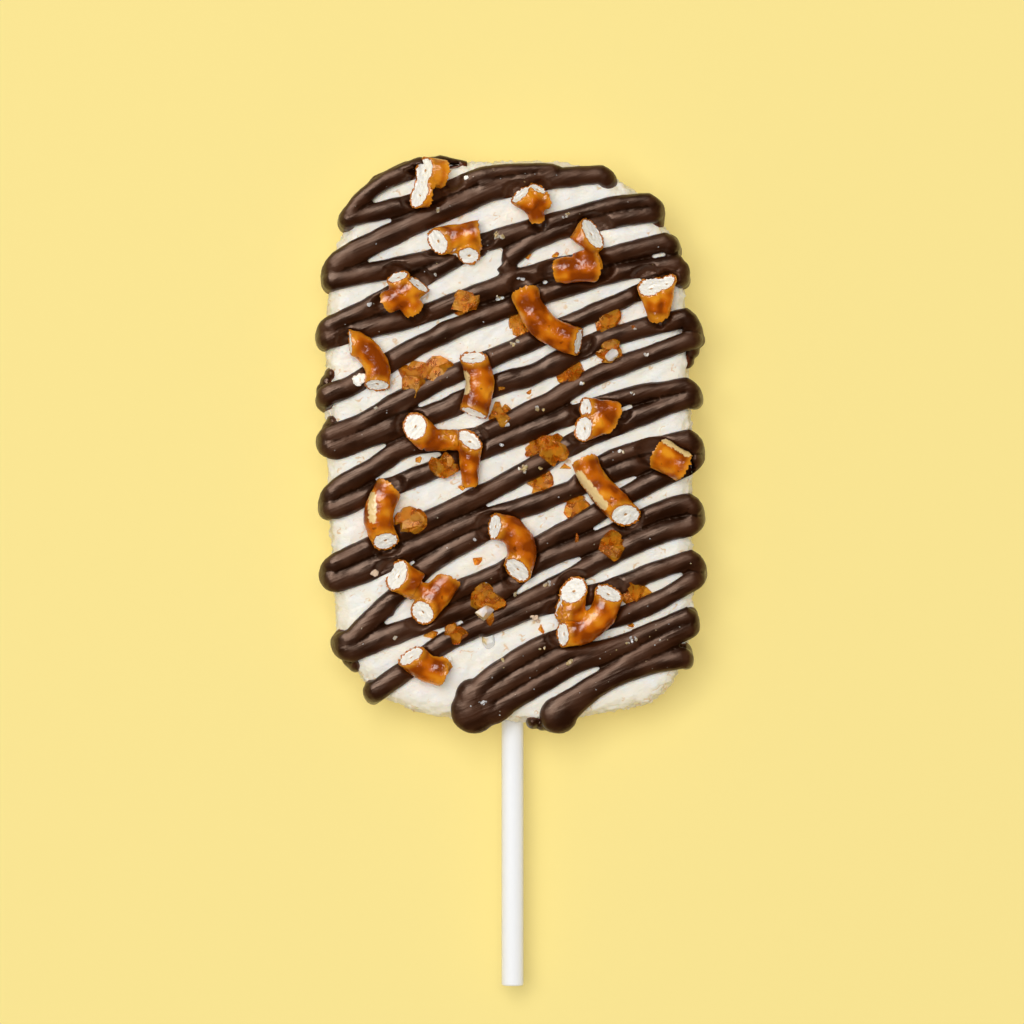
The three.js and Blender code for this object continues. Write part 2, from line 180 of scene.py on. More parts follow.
def smooth_path(points, step):
    """A curve through the points, with stations about one step apart."""
    ends = [2 * points[0] - points[1], *points, 2 * points[-1] - points[-2]]
    path = []
    for a, b, c, d in zip(ends, ends[1:], ends[2:], ends[3:]):
        steps = max(1, round((c - b).length / step))
        for i in range(steps):
            t = i / steps
            path.append(b + 0.5 * t * (c - a + t * (2 * a - 5 * b + 4 * c - d + t * (3 * (b - c) + d - a))))
    return [*path, points[-1]]


def mix(a, b, t):
    return a + (b - a) * t


# %% [markdown]
# The slab was poured in a tray and cut by hand. Its sides bow and each corner has a curve of its own, so the
# outline is a chain of eight quadratic curves. The filled outline is extruded to its thickness, its rims are
# bevelled round, and the whole is remeshed into small even faces.

# %% The plain slab
OUTLINE_START = (-17, 50.0)
# Each row: the point that pulls a curve, and its end
OUTLINE = [
    ((-4, 51.6), (10, 50.9)),
    ((30, 47.5), (31.6, 27)),
    ((33.4, 8), (33.1, -30)),
    ((33, -47.5), (20, -48.6)),
    ((4, -52.2), (-11, -49.8)),
    ((-29.5, -48.5), (-31.6, -31)),
    ((-33.5, -8), (-33.3, 20)),
    ((-33.5, 46), (-17, 50.0)),
]
OUTLINE_STEPS = 12
SLAB_RIM = 3.2
SLAB_RIM_SEGMENTS = 8


def outline_points(steps):
    """The slab's outline, with the same number of points on each of its curves."""
    start = Vector(OUTLINE_START)
    points = []
    for control, end in OUTLINE:
        control, end = Vector(control), Vector(end)
        for i in range(steps):
            t = i / steps
            points.append(start.lerp(control, t).lerp(control.lerp(end, t), t))
        start = end
    return points


def level_edges(bm):
    """The edges that lie level, which are the rims of an upright slab or rod."""
    return [edge for edge in bm.edges if edge.verts[0].co.z == edge.verts[1].co.z]


def rounded(bm, edges, offset, segments, clamp=True):
    """Bevels the edges round."""
    bmesh.ops.bevel(
        bm, geom=edges, offset=offset, segments=segments, profile=0.5, affect="EDGES", material=-1,
        clamp_overlap=clamp,
    )


slab = bmesh.new()
base = slab.faces.new([slab.verts.new((*point, 0)) for point in outline_points(OUTLINE_STEPS)])
made = bmesh.ops.extrude_face_region(slab, geom=[base])["geom"]
bmesh.ops.translate(slab, verts=only(bmesh.types.BMVert, made), vec=(0, 0, SLAB_TOP))
bmesh.ops.recalc_face_normals(slab, faces=slab.faces)
rounded(slab, level_edges(slab), SLAB_RIM, SLAB_RIM_SEGMENTS)
print("the plain slab has", len(slab.faces), "faces")

# %% [markdown]
# Soft marshmallow has low lumps and wrinkles, and a ragged rim where it was torn from its tray. Each point of
# the skin moves along its normal by noise of several sizes. Ridged noise, folded at its middle value, has the
# sharp crests of a tear. The underside stays flat, as it lay in the tray.

# %% Lumps, wrinkles and the torn rim
SLAB_VOXEL = 0.42
SLAB_SMOOTHINGS = 2
SLAB_SHARE = 0.8
SLAB_LUMPS = [(0.26, 7), (0.20, 2.6), (0.08, 1.1)]
TORN_LUMPS = [(0.45, 1.5), (0.2, 0.8)]
TORN_RIDGES = 0.5
TORN_SINK = 0.2


def rough(point, layers):
    """Noise in layers, each given as its height and the size of its lumps, in mm."""
    return sum(height * noise.noise(point / size) for height, size in layers)


def ridge(point):
    """Noise whose crests are sharp, from 0 to 1, as torn edges and wrinkles are."""
    return (1 - min(1, 2.5 * abs(noise.noise(point)))) ** 2


def slab_relief(point, normal):
    """How far the marshmallow stands out from the plain slab at a point."""
    wrinkles = -0.14 * ridge(point / 6) + 0.06 * ridge(point / 2.4 + Vector((9, 0, 0)))
    torn = TORN_RIDGES * ridge(point / 2.7) + rough(point, TORN_LUMPS) - TORN_SINK
    side = min(1, 1.3 * (1 - abs(normal.z)))
    under = max(0, -normal.z)
    return (rough(point, SLAB_LUMPS) + wrinkles + torn * side) * (1 - under)


slab = fused(slab, SLAB_VOXEL, SLAB_SMOOTHINGS)
slab.normal_update()
for vert in slab.verts:
    vert.co += vert.normal * slab_relief(vert.co, vert.normal)
    vert.co.z = max(vert.co.z, 0)
slab = through(slab, "DECIMATE", ratio=SLAB_SHARE)
print("the slab has", len(slab.faces), "faces")

# %% [markdown]
# Near its edge the marshmallow is creamier than in the middle. Each point stores how far in from the outline
# it lies, or how far up the round rim where that is less, in mm. The material reads it.

# %% How far in from the rim
RIM_STEPS = 60


def tree_of(places):
    """A tree that finds the nearest of the places."""
    tree = KDTree(len(places))
    for i, place in enumerate(places):
        tree.insert(place, i)
    tree.balance()
    return tree


outline_tree = tree_of([point.to_3d() for point in outline_points(RIM_STEPS)])
rim = slab.verts.layers.float.new("rim")
for vert in slab.verts:
    inward = outline_tree.find((vert.co.x, vert.co.y, 0))[2]
    vert[rim] = min(inward, max(0, vert.co.z - SLAB_TOP + SLAB_RIM))
print("the rim is stored up to", round(max(vert[rim] for vert in slab.verts), 1), "mm")

# %% [markdown]
# The drizzle was swung from side to side, so it is a row of passes. Each pass crosses the top from left to
# right, and most go over the edge into a turn where they meet the next pass. A pass is written down as a cord
# would be: the few points where it bends, with a width at the left, the middle and the right.

# %% The passes of the drizzle
LEFT_TURNS = [
    (-29.8, 41.3), (-32.9, 30.6), (-33.9, 20.0), (-33.9, 8.8), (-33.8, 1.2),
    (-33.4, -10.8), (-33.2, -23.0), (-31.0, -35.6), (-25.2, -44.4),
]
RIGHT_TURNS = [
    (18.2, 48.2), (26.8, 43.0), (29.8, 36.2), (31.4, 31.0), (33.8, 20.8), (33.7, 9.2),
    (34.0, -0.2), (34.0, -11.8), (34.4, -22.2), (33.1, -31.4), (32.0, -37.9),
]
# Each row: left turn, right turn, widths at the left, middle and right, and the points from left to right
PASSES = [
    (0, None, (3.4, 2.8, 3.0), (-28.6, 42.2), (-26.6, 44.7), (-22.4, 47.6), (-14.6, 50.8)),
    (0, None, (3.3, 2.9, 1.3), (-28.8, 40.9), (-19.1, 43.2), (-10.0, 46.6), (-2.9, 49.0), (9.1, 50.0)),
    (None, None, (2.2, 2.4, 2.2), (-6.6, 47.0), (0.9, 47.5), (9.6, 49.2)),
    (1, 0, (4.2, 4.0, 3.2), (-30.8, 32.9), (-25.1, 36.1), (-9.1, 43.5), (-1.8, 46.2), (6.4, 47.7),
     (16.6, 48.8)),
    (1, 1, (3.4, 3.4, 2.7), (-31.7, 29.5), (-16.4, 32.8), (-1.8, 37.2), (12.7, 41.4), (19.0, 43.2),
     (25.1, 43.9)),
    (None, 1, (3.2, 2.9, 2.8), (-1.1, 32.7), (1.8, 34.9), (5.5, 37.1), (12.7, 39.3), (24.9, 41.5)),
    (2, None, (3.4, 3.4, 2.8), (-32.0, 21.5), (-23.7, 25.5), (-14.6, 30.8), (-9.1, 33.8), (-4.0, 35.7)),
    (2, 2, (3.5, 3.3, 3.1), (-32.2, 19.1), (-16.4, 23.1), (-9.1, 25.8), (5.5, 31.0), (12.7, 32.7),
     (28.2, 36.4)),
    (3, 3, (3.6, 3.5, 3.0), (-32.6, 8.9), (-28.2, 10.6), (-20.0, 15.7), (-9.1, 21.1), (8.2, 27.5),
     (20.0, 30.8), (30.6, 32.3)),
    (4, 3, (3.9, 3.3, 2.8), (-31.8, 1.4), (-27.3, 3.2), (-20.0, 7.4), (-10.0, 12.4), (5.5, 19.1),
     (29.8, 30.1)),
    (4, 4, (4.2, 3.8, 3.3), (-31.8, -1.0), (-20.0, 3.1), (-12.7, 5.6), (-1.8, 10.6), (4.4, 12.4),
     (12.7, 16.7), (20.0, 19.6), (31.8, 22.7)),
    (5, 4, (3.7, 3.5, 3.2), (-31.3, -8.4), (-24.4, -4.4), (-18.4, -0.8), (-8.7, 0.5), (-3.6, 2.0),
     (7.6, 7.6), (15.1, 11.8), (22.0, 14.6), (32.4, 18.4)),
    (5, 5, (3.5, 3.4, 2.8), (-31.5, -12.1), (-12.4, -4.4), (7.6, 3.5), (22.0, 8.5), (32.0, 10.2)),
    (6, 5, (3.5, 3.6, 3.1), (-31.1, -21.7), (-10.2, -12.1), (4.5, -4.6), (10.0, -1.1), (16.4, 1.9),
     (32.4, 8.0)),
    (6, None, (4.0, 3.4, 3.0), (-31.5, -25.3), (-25.1, -23.0), (-8.2, -15.2), (5.5, -10.9), (18.6, -5.6),
     (28.0, -2.5)),
    (7, None, (3.9, 3.5, 2.8), (-28.6, -35.8), (-22.6, -29.8), (-15.3, -22.8), (-7.3, -17.9), (1.8, -13.3)),
    (None, 6, (2.4, 3.0, 3.5), (10.2, -9.3), (12.7, -6.9), (16.0, -4.3), (22.4, -1.6), (32.4, 0.5)),
    (None, 6, (3.2, 3.2, 3.2), (-13.5, -29.1), (-6.4, -25.5), (-1.3, -23.4), (5.8, -18.4), (13.3, -14.4),
     (23.3, -8.6), (32.0, -4.4)),
    (7, 7, (4.1, 3.2, 3.2), (-28.6, -38.0), (-21.1, -34.9), (-6.4, -29.6), (-1.8, -27.2), (5.5, -21.8),
     (16.4, -17.6), (26.4, -12.7), (32.6, -11.0)),
    (8, 7, (3.9, 3.3, 3.8), (-24.0, -45.1), (-12.7, -37.1), (-7.3, -34.3), (6.9, -26.8), (19.3, -20.1),
     (27.5, -16.6), (32.6, -15.3)),
    (None, 8, (2.8, 3.2, 3.1), (-5.8, -34.6), (-1.8, -32.9), (5.5, -30.0), (16.4, -27.3), (25.5, -23.8),
     (32.9, -21.3)),
    (None, 8, (4.4, 3.1, 3.2), (-7.1, -47.0), (-4.5, -43.9), (-1.8, -41.6), (7.3, -36.2), (23.7, -30.4),
     (32.9, -25.5)),
    (None, 9, (4.2, 3.1, 3.3), (-5.6, -48.4), (-1.8, -44.9), (9.1, -39.0), (12.7, -38.0), (16.4, -37.9),
     (22.4, -35.9), (32.4, -31.8)),
    (None, None, (4.4, 3.4, 2.4), (-4.4, -49.9), (-1.8, -48.4), (5.5, -44.0), (12.7, -39.9), (16.4, -38.8),
     (24.0, -36.2)),
    (None, 9, (5.4, 3.8, 3.4), (8.6, -49.7), (12.7, -46.4), (20.0, -41.3), (26.4, -37.1), (32.0, -34.0)),
    (None, 10, (3.0, 3.4, 3.7), (14.6, -45.5), (20.0, -42.5), (23.7, -41.0), (31.3, -39.3)),
]
print("the drizzle has", len(PASSES), "passes")

# %% [markdown]
# Each pass becomes one tube. On top it wanders a little, and its width swells and thins. Over the edge it
# bends through a quarter turn and hangs down the side wall. Where it ends on top it has a round tip.

# %% Where a strand runs
STRAND_RISE = 1.9
STRAND_SINK = 1.0
STRAND_WANDER = 0.1
TURN_HANG = 5.5
TURN_SLIDE = 1.6
RUN_STEP = 1.2
DRAPE_STEPS = 7


def run_spine(route):
    """The middle of a pass where it lies on top, from left to right, wandering a little."""
    middle = SLAB_TOP + (STRAND_RISE - STRAND_SINK) / 2
    spine = smooth_path([Vector((x, y, middle)) for x, y in route], RUN_STEP)
    for point in spine:
        point.y += STRAND_WANDER * noise.noise(Vector((point.x / 4, point.y / 4, 3)))
    return spine


def drape_spine(end, turn):
    """From the end of a run over the edge and down the side wall, to the turn's tip."""
    tip = Vector((turn[0], turn[1] - TURN_SLIDE, SLAB_TOP - TURN_HANG))
    spine = []
    for i in range(1, DRAPE_STEPS + 1):
        angle = math.pi / 2 * i / DRAPE_STEPS
        out = math.sin(angle) ** 0.6
        down = (1 - math.cos(angle)) ** 1.2
        turned = (out + down) / 2
        spine.append(Vector((mix(end.x, tip.x, out), mix(end.y, tip.y, turned), mix(end.z, tip.z, down))))
    return spine


print("a strand is", STRAND_RISE + STRAND_SINK, "mm high")

# %% How wide a strand is, and the strands themselves
STRAND_SIDES = 14
STRAND_SWELL = 0.13
TIP_LENGTH = 1.6
THINNEST_TIP = 0.3


def strand_sizes(spine, widths, hangs_left, hangs_right):
    """Half width and half height along a strand, with a round tip where it ends on top."""
    left, middle, right = widths
    length = (spine[-1] - spine[0]).length
    sizes = []
    for point in spine:
        from_left, from_right = (point - spine[0]).length, (point - spine[-1]).length
        t = min(1, from_left / length)
        width = mix(left, middle, min(1, 3 * t)) if t < 0.5 else mix(middle, right, max(0, 3 * t - 2))
        width *= 1 + STRAND_SWELL * noise.noise(point / 4)
        from_tip = min(
            TIP_LENGTH if hangs_left else from_left, TIP_LENGTH if hangs_right else from_right, TIP_LENGTH
        )
        fullness = max(THINNEST_TIP, math.sqrt(1 - (1 - from_tip / TIP_LENGTH) ** 2))
        sizes.append((width / 2 * fullness, (STRAND_RISE + STRAND_SINK) / 2 * fullness))
    return sizes


def strand(left_turn, right_turn, widths, *route):
    """One pass of the drizzle as a tube, with what hangs over the edges."""
    run = run_spine(route)
    over_left = [] if left_turn is None else drape_spine(run[0], LEFT_TURNS[left_turn])[::-1]
    over_right = [] if right_turn is None else drape_spine(run[-1], RIGHT_TURNS[right_turn])
    spine = over_left + run + over_right
    along = run[-1] - run[0]
    across = Vector((-along.y, along.x, 0))
    return tube(spine, strand_sizes(spine, widths, over_left, over_right), STRAND_SIDES, across)


chocolate = bmesh.new()
for row in PASSES:
    poured(chocolate, strand(*row))
print("the strands have", len(chocolate.faces), "faces")

# %% [markdown]
# Where two passes meet, the chocolate gathered into a bulb on the side wall and sometimes ran down in a drip.
# At the foot it ran over the edge in two large drops, each flat on top with more of it hanging below. These
# are balls and short tubes added to the same mesh, with a few runs low on the wall and two short strands.

# %% A ball and a drip
DRIP_STEPS = 6
DRIP_SIDES = 12
DRIP_TOP = (1.5, 1.2)
DRIP_FOOT = (0.8, 0.9)
DRIP_BEAD = (1.1, 1.0, 1.1)


def ball(x, y, z, radii):
    """An oval ball."""
    bm = bmesh.new()
    place = Matrix.Translation((x, y, z)) @ Matrix.Diagonal((*radii, 1))
    bmesh.ops.create_uvsphere(bm, u_segments=24, v_segments=14, radius=1, matrix=place)
    return bm


def drip(x, y, reach):
    """A thin run of chocolate down the side wall from a turn, ending in a bead."""
    top = SLAB_TOP - TURN_HANG
    shares = [i / DRIP_STEPS for i in range(DRIP_STEPS + 1)]
    spine = [Vector((x, y, top + 1 - (reach + 1) * share)) for share in shares]
    sizes = [[mix(*ends, share) for ends in zip(DRIP_TOP, DRIP_FOOT)] for share in shares]
    bm = tube(spine, sizes, DRIP_SIDES, Vector((0, 1, 0)))
    poured(bm, ball(x, y, top - reach, DRIP_BEAD))
    return bm


# %% Bulbs, drips and drops
SEED = 7
BULB = (1.9, 2.3, 3.6)
BULB_DEPTH = 3.4
BULB_INSET = 0.7
DRIP_INSET = 0.4
BULB_SLIDE = 0.7
DRIP_REACH = (0.0, 4.0)
# Each row: x, y and radius
DROPS = [(-6.5, -48.8, 4.1), (-3.9, -48.3, 3.2), (-6.6, -46.4, 3.3), (8.9, -49.6, 3.3)]
DROP_HALF_HEIGHT = 2.1
HANGING_HALF_HEIGHT = 4.5
HANGING_SHARE = 0.85
POOLS = [(-24.0, -31.8, 1.4), (-22.2, -30.7, 1.1)]
POOL_HALF_HEIGHT = 1.4
# Short runs low on the side wall that show beyond the edge, as start and end
WALL_RUNS = [
    ((-32.5, 12.4), (-34.1, 9.4)), ((-32.2, 3.8), (-33.8, 1.2)), ((34.4, 18.6), (32.4, 14.8)),
    ((26.9, 40.0), (27.2, 41.8)), ((34.6, -22.8), (32.4, -27.2)), ((-28.2, -40.6), (-29.3, -39.6)),
    ((4.2, -51.0), (7.6, -51.6)),
]
WALL_RUN = (1.1, 1.2, 3.2)
WALL_RUN_DEPTH = 3.5
WALL_RUN_THINNING = 1.4
# Two short strands, the second low on the wall. Each row: x, y, height above the slab, half width and height
HOOK = [(-1.2, 32.4, 0.4, 1.5, 1.3), (0.6, 30.4, 0.4, 1.3, 1.2)]
SLIPPED_STRAND = [
    (-27.0, 44.4, -3.4, 1.0, 1.0), (-23.8, 47.0, -3.4, 1.7, 1.6), (-18.6, 49.6, -3.0, 1.6, 1.6),
    (-12.6, 50.8, -2.4, 1.4, 1.4), (-8.0, 50.2, -2.4, 0.9, 0.9),
]
luck = random.Random(SEED)

for side, turns in ((1, LEFT_TURNS), (-1, RIGHT_TURNS)):
    for x, y in turns:
        poured(chocolate, ball(x + BULB_INSET * side, y - BULB_SLIDE, SLAB_TOP - BULB_DEPTH, BULB))
        poured(chocolate, drip(x + DRIP_INSET * side, y - BULB_SLIDE, luck.uniform(*DRIP_REACH)))
for x, y, radius in DROPS:
    top = SLAB_TOP + STRAND_RISE
    poured(chocolate, ball(x, y, top - DROP_HALF_HEIGHT, (radius, radius, DROP_HALF_HEIGHT)))
    hanging = (HANGING_SHARE * radius, HANGING_SHARE * radius, HANGING_HALF_HEIGHT)
    poured(chocolate, ball(x, y, top - 1 - HANGING_HALF_HEIGHT, hanging))
for x, y, radius in POOLS:
    poured(chocolate, ball(x, y, SLAB_TOP, (radius, radius, POOL_HALF_HEIGHT)))
for start, end in WALL_RUNS:
    for t in (0, 0.5, 1):
        x, y = Vector(start).lerp(Vector(end), t)
        radii = (*WALL_RUN[:2], WALL_RUN[2] - WALL_RUN_THINNING * t)
        poured(chocolate, ball(x, y, SLAB_TOP - WALL_RUN_DEPTH, radii))
for rows in (HOOK, SLIPPED_STRAND):
    spine = [Vector((x, y, SLAB_TOP + height)) for x, y, height, *_ in rows]
    poured(chocolate, tube(spine, [row[3:] for row in rows], STRAND_SIDES))
print("with bulbs, drips and drops the drizzle has", len(chocolate.faces), "faces")

# %% [markdown]
# The tubes and balls are fused by voxels into one skin. They are swollen first, and the skin is shrunk back a
# little after, which fills the creases between strands, as chocolate does before it sets.

# %% Fuse the chocolate
CHOCOLATE_VOXEL = 0.28
CHOCOLATE_SWELL = 0.23
CHOCOLATE_SHRINK = 0.03
CHOCOLATE_SMOOTHINGS = 3
CHOCOLATE_SHARE = 0.35
CHOCOLATE_LUMPS = [(0.12, 2.6), (0.04, 0.8)]

chocolate = through(chocolate, "DISPLACE", strength=CHOCOLATE_SWELL, mid_level=0)
chocolate = fused(chocolate, CHOCOLATE_VOXEL, CHOCOLATE_SMOOTHINGS)
chocolate.normal_update()
for vert in chocolate.verts:
    vert.co += vert.normal * (rough(vert.co, CHOCOLATE_LUMPS) - CHOCOLATE_SHRINK)
chocolate = through(chocolate, "DECIMATE", ratio=CHOCOLATE_SHARE)
print("the chocolate has", len(chocolate.faces), "faces")

# %% [markdown]
# Creases between strands are painted darker than their crests, as painted shade, since little light reaches
# into them. A crease is where smoothing would lift the skin, so a smoothed copy tells how deep each point
# lies, in mm. Chocolate is redder where it thins out on the marshmallow, so each point also stores how near
# the slab is. The material reads both.

# %% How deep in a crease, and how near the slab
CREASE_SMOOTHINGS = 14
NEAR_SLAB = 0.6

slab_tree = BVHTree.FromBMesh(slab)
near_slab = chocolate.verts.layers.float.new("near_slab")
for vert in chocolate.verts:
    distance = slab_tree.find_nearest(vert.co, NEAR_SLAB)[3]
    vert[near_slab] = 0 if distance is None else 1 - distance / NEAR_SLAB

chocolate.normal_update()
crease = chocolate.verts.layers.float.new("crease")
filled = smoothed(chocolate.copy(), CREASE_SMOOTHINGS)
for vert, lifted in zip(chocolate.verts, filled.verts):
    vert[crease] = (lifted.co - vert.co).dot(vert.normal)
filled.free()
print("the deepest crease is", round(max(vert[crease] for vert in chocolate.verts), 2), "mm")

# %% [markdown]
# The pretzels are broken rope. Each limb is a tube that runs on past its ends and is cut by a plane at each
# break, and the limbs of a piece are fused. The breaks are where the pale crumb shows, so they are written
# down with the limbs. JOINED marks an end that runs into another limb, UNDER a break that faces out and down,
# so that only its ragged crust shows from above, and SQUARE a break straight across. Other ends are slanted
# breaks, as the way they face, in degrees from +X towards +Y, and the degrees that they lean back, which are
# below zero where a break leans forward.

# %% The limbs of the pretzels
JOINED = "joined"
UNDER = "under"
SQUARE = "square"
# Each row is a limb: its piece, its radius at the start and the end, those two ends, and its points
LIMBS = [
    (1, (2.5, 2.9), (168, 32), UNDER, (-15.7, 49.4), (-11.1, 48.4)),
    (1, (2.0, 2.0), (168, 32), UNDER, (-16.15, 47.2), (-13.6, 46.9)),
    (1, (2.6, 2.4), (168, 32), UNDER, (-16.6, 45.0), (-14.2, 45.2)),
    (2, (2.3, 2.0), (135, 22), JOINED, (1.8, 45.0), (4.7, 42.8)),
    (2, (1.6, 2.0), (65, 24), JOINED, (5.2, 46.2), (4.6, 43.1)),
    (2, (2.0, 1.2), JOINED, UNDER, (4.4, 43.4), (5.1, 39.7)),
    (2, (2.0, 1.4), JOINED, UNDER, (4.4, 43.5), (7.4, 44.0)),
    (3, (2.5, 2.7), (200, 33), SQUARE, (-13.3, 36.4), (-5.3, 37.7)),
    (3, (2.0, 2.4), (268, 36), JOINED, (-7.4, 33.6), (-7.6, 37.5)),
    (4, (3.3, 2.6), (35, 26), JOINED, (15.1, 38.0), (13.2, 35.4)),
    (4, (2.4, 2.3), JOINED, JOINED, (13.6, 34.9), (14.8, 30.8)),
    (4, (2.3, 2.4), UNDER, UNDER, (7.8, 31.1), (16.4, 31.6)),
    (5, (2.2, 2.1), (110, 24), JOINED, (-20.4, 30.2), (-19.4, 26.8)),
    (5, (2.5, 2.1), (52, 18), JOINED, (-16.6, 28.8), (-19.4, 26.6)),
    (5, (2.2, 1.9), JOINED, UNDER, (-19.4, 26.8), (-23.0, 25.0)),
    (5, (2.2, 1.9), JOINED, UNDER, (-19.4, 26.8), (-16.9, 23.4)),
    (6, (2.5, 2.6), UNDER, (350, 14), (2.5, 28.0), (3.5, 24.9), (5.6, 21.7), (8.6, 19.5), (12.6, 18.2)),
    (7, (3.3, 1.1), (108, 34), UNDER, (25.6, 28.2), (27.1, 21.8)),
    (7, (2.1, 1.1), (108, 34), UNDER, (28.3, 29.0), (27.7, 22.6)),
    (8, (2.2, 2.4), (184, 8), (266, 22), (-29.1, 18.2), (-26.9, 17.3), (-25.1, 15.5), (-24.0, 13.1),
     (-24.1, 10.2)),
    (9, (2.5, 2.6), (97, 25), (250, 12), (-6.7, 15.5), (-5.6, 12.2), (-5.5, 9.8), (-6.6, 5.2)),
    (10, (2.6, 2.2), (145, 43), JOINED, (-17.4, 3.0), (-14.4, 0.2)),
    (10, (2.0, 1.8), JOINED, JOINED, (-15.4, 0.3), (-9.4, 0.4)),
    (10, (2.7, 1.2), (64, 33), UNDER, (-7.1, 0.4), (-7.3, -4.2), (-7.2, -8.2)),
    (11, (2.1, 1.7), (178, 30), UNDER, (13.7, 6.2), (20.2, 5.5)),
    (11, (2.5, 2.1), (188, 36), JOINED, (13.3, 2.4), (16.6, 3.6)),
    (11, (2.2, 1.7), JOINED, UNDER, (15.8, 5.2), (18.7, 2.2)),
    (12, (3.0, 2.8), UNDER, UNDER, (26.2, -1.6), (32.1, -4.8)),
    (13, (2.7, 2.4), (51, -20), (285, 32), (-21.9, -8.4), (-23.7, -12.2), (-23.7, -15.1), (-22.5, -18.2)),
    (14, (2.4, 2.6), UNDER, (300, 39), (13.4, -2.8), (14.8, -6.2), (17.3, -9.4), (21.2, -13.4)),
    (15, (2.6, 2.7), (172, 26), (237, 33), (-2.9, -15.3), (-0.2, -15.9), (1.7, -17.9), (2.2, -20.6),
     (1.3, -23.4)),
    (16, (3.3, 2.3), (154, 31), JOINED, (-20.5, -24.2), (-16.7, -26.4)),
    (16, (1.7, 1.7), JOINED, JOINED, (-17.6, -26.8), (-14.0, -27.4)),
    (16, (2.4, 2.5), (226, 39), (67, -20), (-16.0, -31.1), (-13.5, -28.2), (-11.1, -25.0)),
    (17, (2.7, 2.2), (98, 43), JOINED, (11.6, -26.8), (11.1, -32.4)),
    (17, (1.9, 1.9), (180, 20), JOINED, (8.8, -30.8), (11.6, -30.8)),
    (17, (2.4, 2.6), (184, 25), (70, 29), (9.5, -34.9), (13.0, -34.4), (16.2, -32.0), (17.6, -29.6),
     (18.0, -27.3)),
    (18, (2.6, 2.7), (127, 24), UNDER, (-18.1, -38.8), (-15.2, -41.0), (-11.5, -42.0)),
    (18, (1.6, 1.4), JOINED, UNDER, (-12.7, -41.4), (-11.2, -39.6)),
]
pretzels = {}
for number, *row in LIMBS:
    pretzels.setdefault(number, []).append(row)
print(len(pretzels), "pretzels with", len(LIMBS), "limbs")

# %% A limb and its breaks
ROPE_LIFT = 0.5
ROPE_RADIUS = 2.4
ROPE_MIDDLE = SLAB_TOP + ROPE_LIFT + ROPE_RADIUS
ROPE_STEP = 0.4
ROPE_SIDES = 28
ROPE_SWELL = 0.08
SPARE_LEAN = 45
UNDER_DROP = 0.4
UNDER_INSET = 0.3


def break_direction(away, slant):
    """Which way an end faces: along its limb, out and down, or slanted as it broke."""
    if slant == UNDER:
        return (away - Vector((0, 0, UNDER_DROP))).normalized()
    if isinstance(slant, str):
        return away
    facing, lean = map(math.radians, slant)
    return Vector((math.cos(facing) * math.cos(lean), math.sin(facing) * math.cos(lean), math.sin(lean)))


def cut(bm, point, outward):
    """Takes away what lies outside a plane, and closes the cut."""
    geom = [*bm.verts, *bm.edges, *bm.faces]
    bmesh.ops.bisect_plane(bm, geom=geom, plane_co=point, plane_no=outward, clear_outer=True)
    bmesh.ops.holes_fill(bm, edges=[edge for edge in bm.edges if edge.is_boundary], sides=0)


def run_on(slant, radius):
    """How far a tube has to run on past its end so that the slanted cut still crosses all of it."""
    lean = SPARE_LEAN if isinstance(slant, str) else abs(slant[1])
    return radius * (math.tan(math.radians(lean)) + 0.5)


def limb_ends(points, radii, start, end):
    """Both ends of a limb as (point, direction away from the limb, slant, radius)."""
    away_start = (points[0] - points[1]).normalized()
    away_end = (points[-1] - points[-2]).normalized()
    return [(points[0], away_start, start, radii[0]), (points[-1], away_end, end, radii[1])]


def limb(radii, start, end, *path):
    """One limb as a closed tube, and the breaks at its ends as (point, direction, radius)."""
    points = [Vector((x, y, ROPE_MIDDLE)) for x, y in path]
    ends = limb_ends(points, radii, start, end)
    first, last = [point + run_on(slant, radius) * away for point, away, slant, radius in ends]
    spine = smooth_path([first, *points, last], ROPE_STEP)
    sizes = []
    for i, point in enumerate(spine):
        radius = mix(*radii, i / len(spine)) * (1 + ROPE_SWELL * noise.noise(point / 2.5))
        sizes.append((radius, radius))
    bm = tube(spine, sizes, ROPE_SIDES)
    breaks = []
    for point, away, slant, radius in ends:
        direction = break_direction(away, slant)
        if slant == UNDER:
            point = point - UNDER_INSET * radius * away
        cut(bm, point, direction)
        if slant != JOINED:
            breaks.append((point, direction, radius))
    return bm, breaks


# %% [markdown]
# The pieces were dropped on soft chocolate and sank in. So the drizzle is pressed down to a thin layer under
# each limb, almost out to its outline. That also keeps the strands from covering the lower half of a break.
# It has a known fault: where a limb reaches over the rim, the surface below is the side wall, so beside pieces
# 1 and 12 some points of the drizzle are drawn down that wall into thin spikes.

# %% Press the pretzels into the chocolate
PRESSED_THICKNESS = 0.3
PRESSED_MARGIN = -0.7
PRESSED_SLOPE = 1.0
PRESSED_BEYOND = 0.3
RAY_START = 40


def surface_below(tree, x, y):
    """Where a ray straight down meets a shape, or None."""
    return tree.ray_cast(Vector((x, y, RAY_START)), Vector((0, 0, -1)))[0]


def pressed_end(point, away, slant, radius):
    """The end of a limb, moved on where a slanted break leaves the lower side of the rope longer."""
    if isinstance(slant, str):
        return point
    return point + PRESSED_BEYOND * radius * math.tan(math.radians(abs(slant[1]))) * away


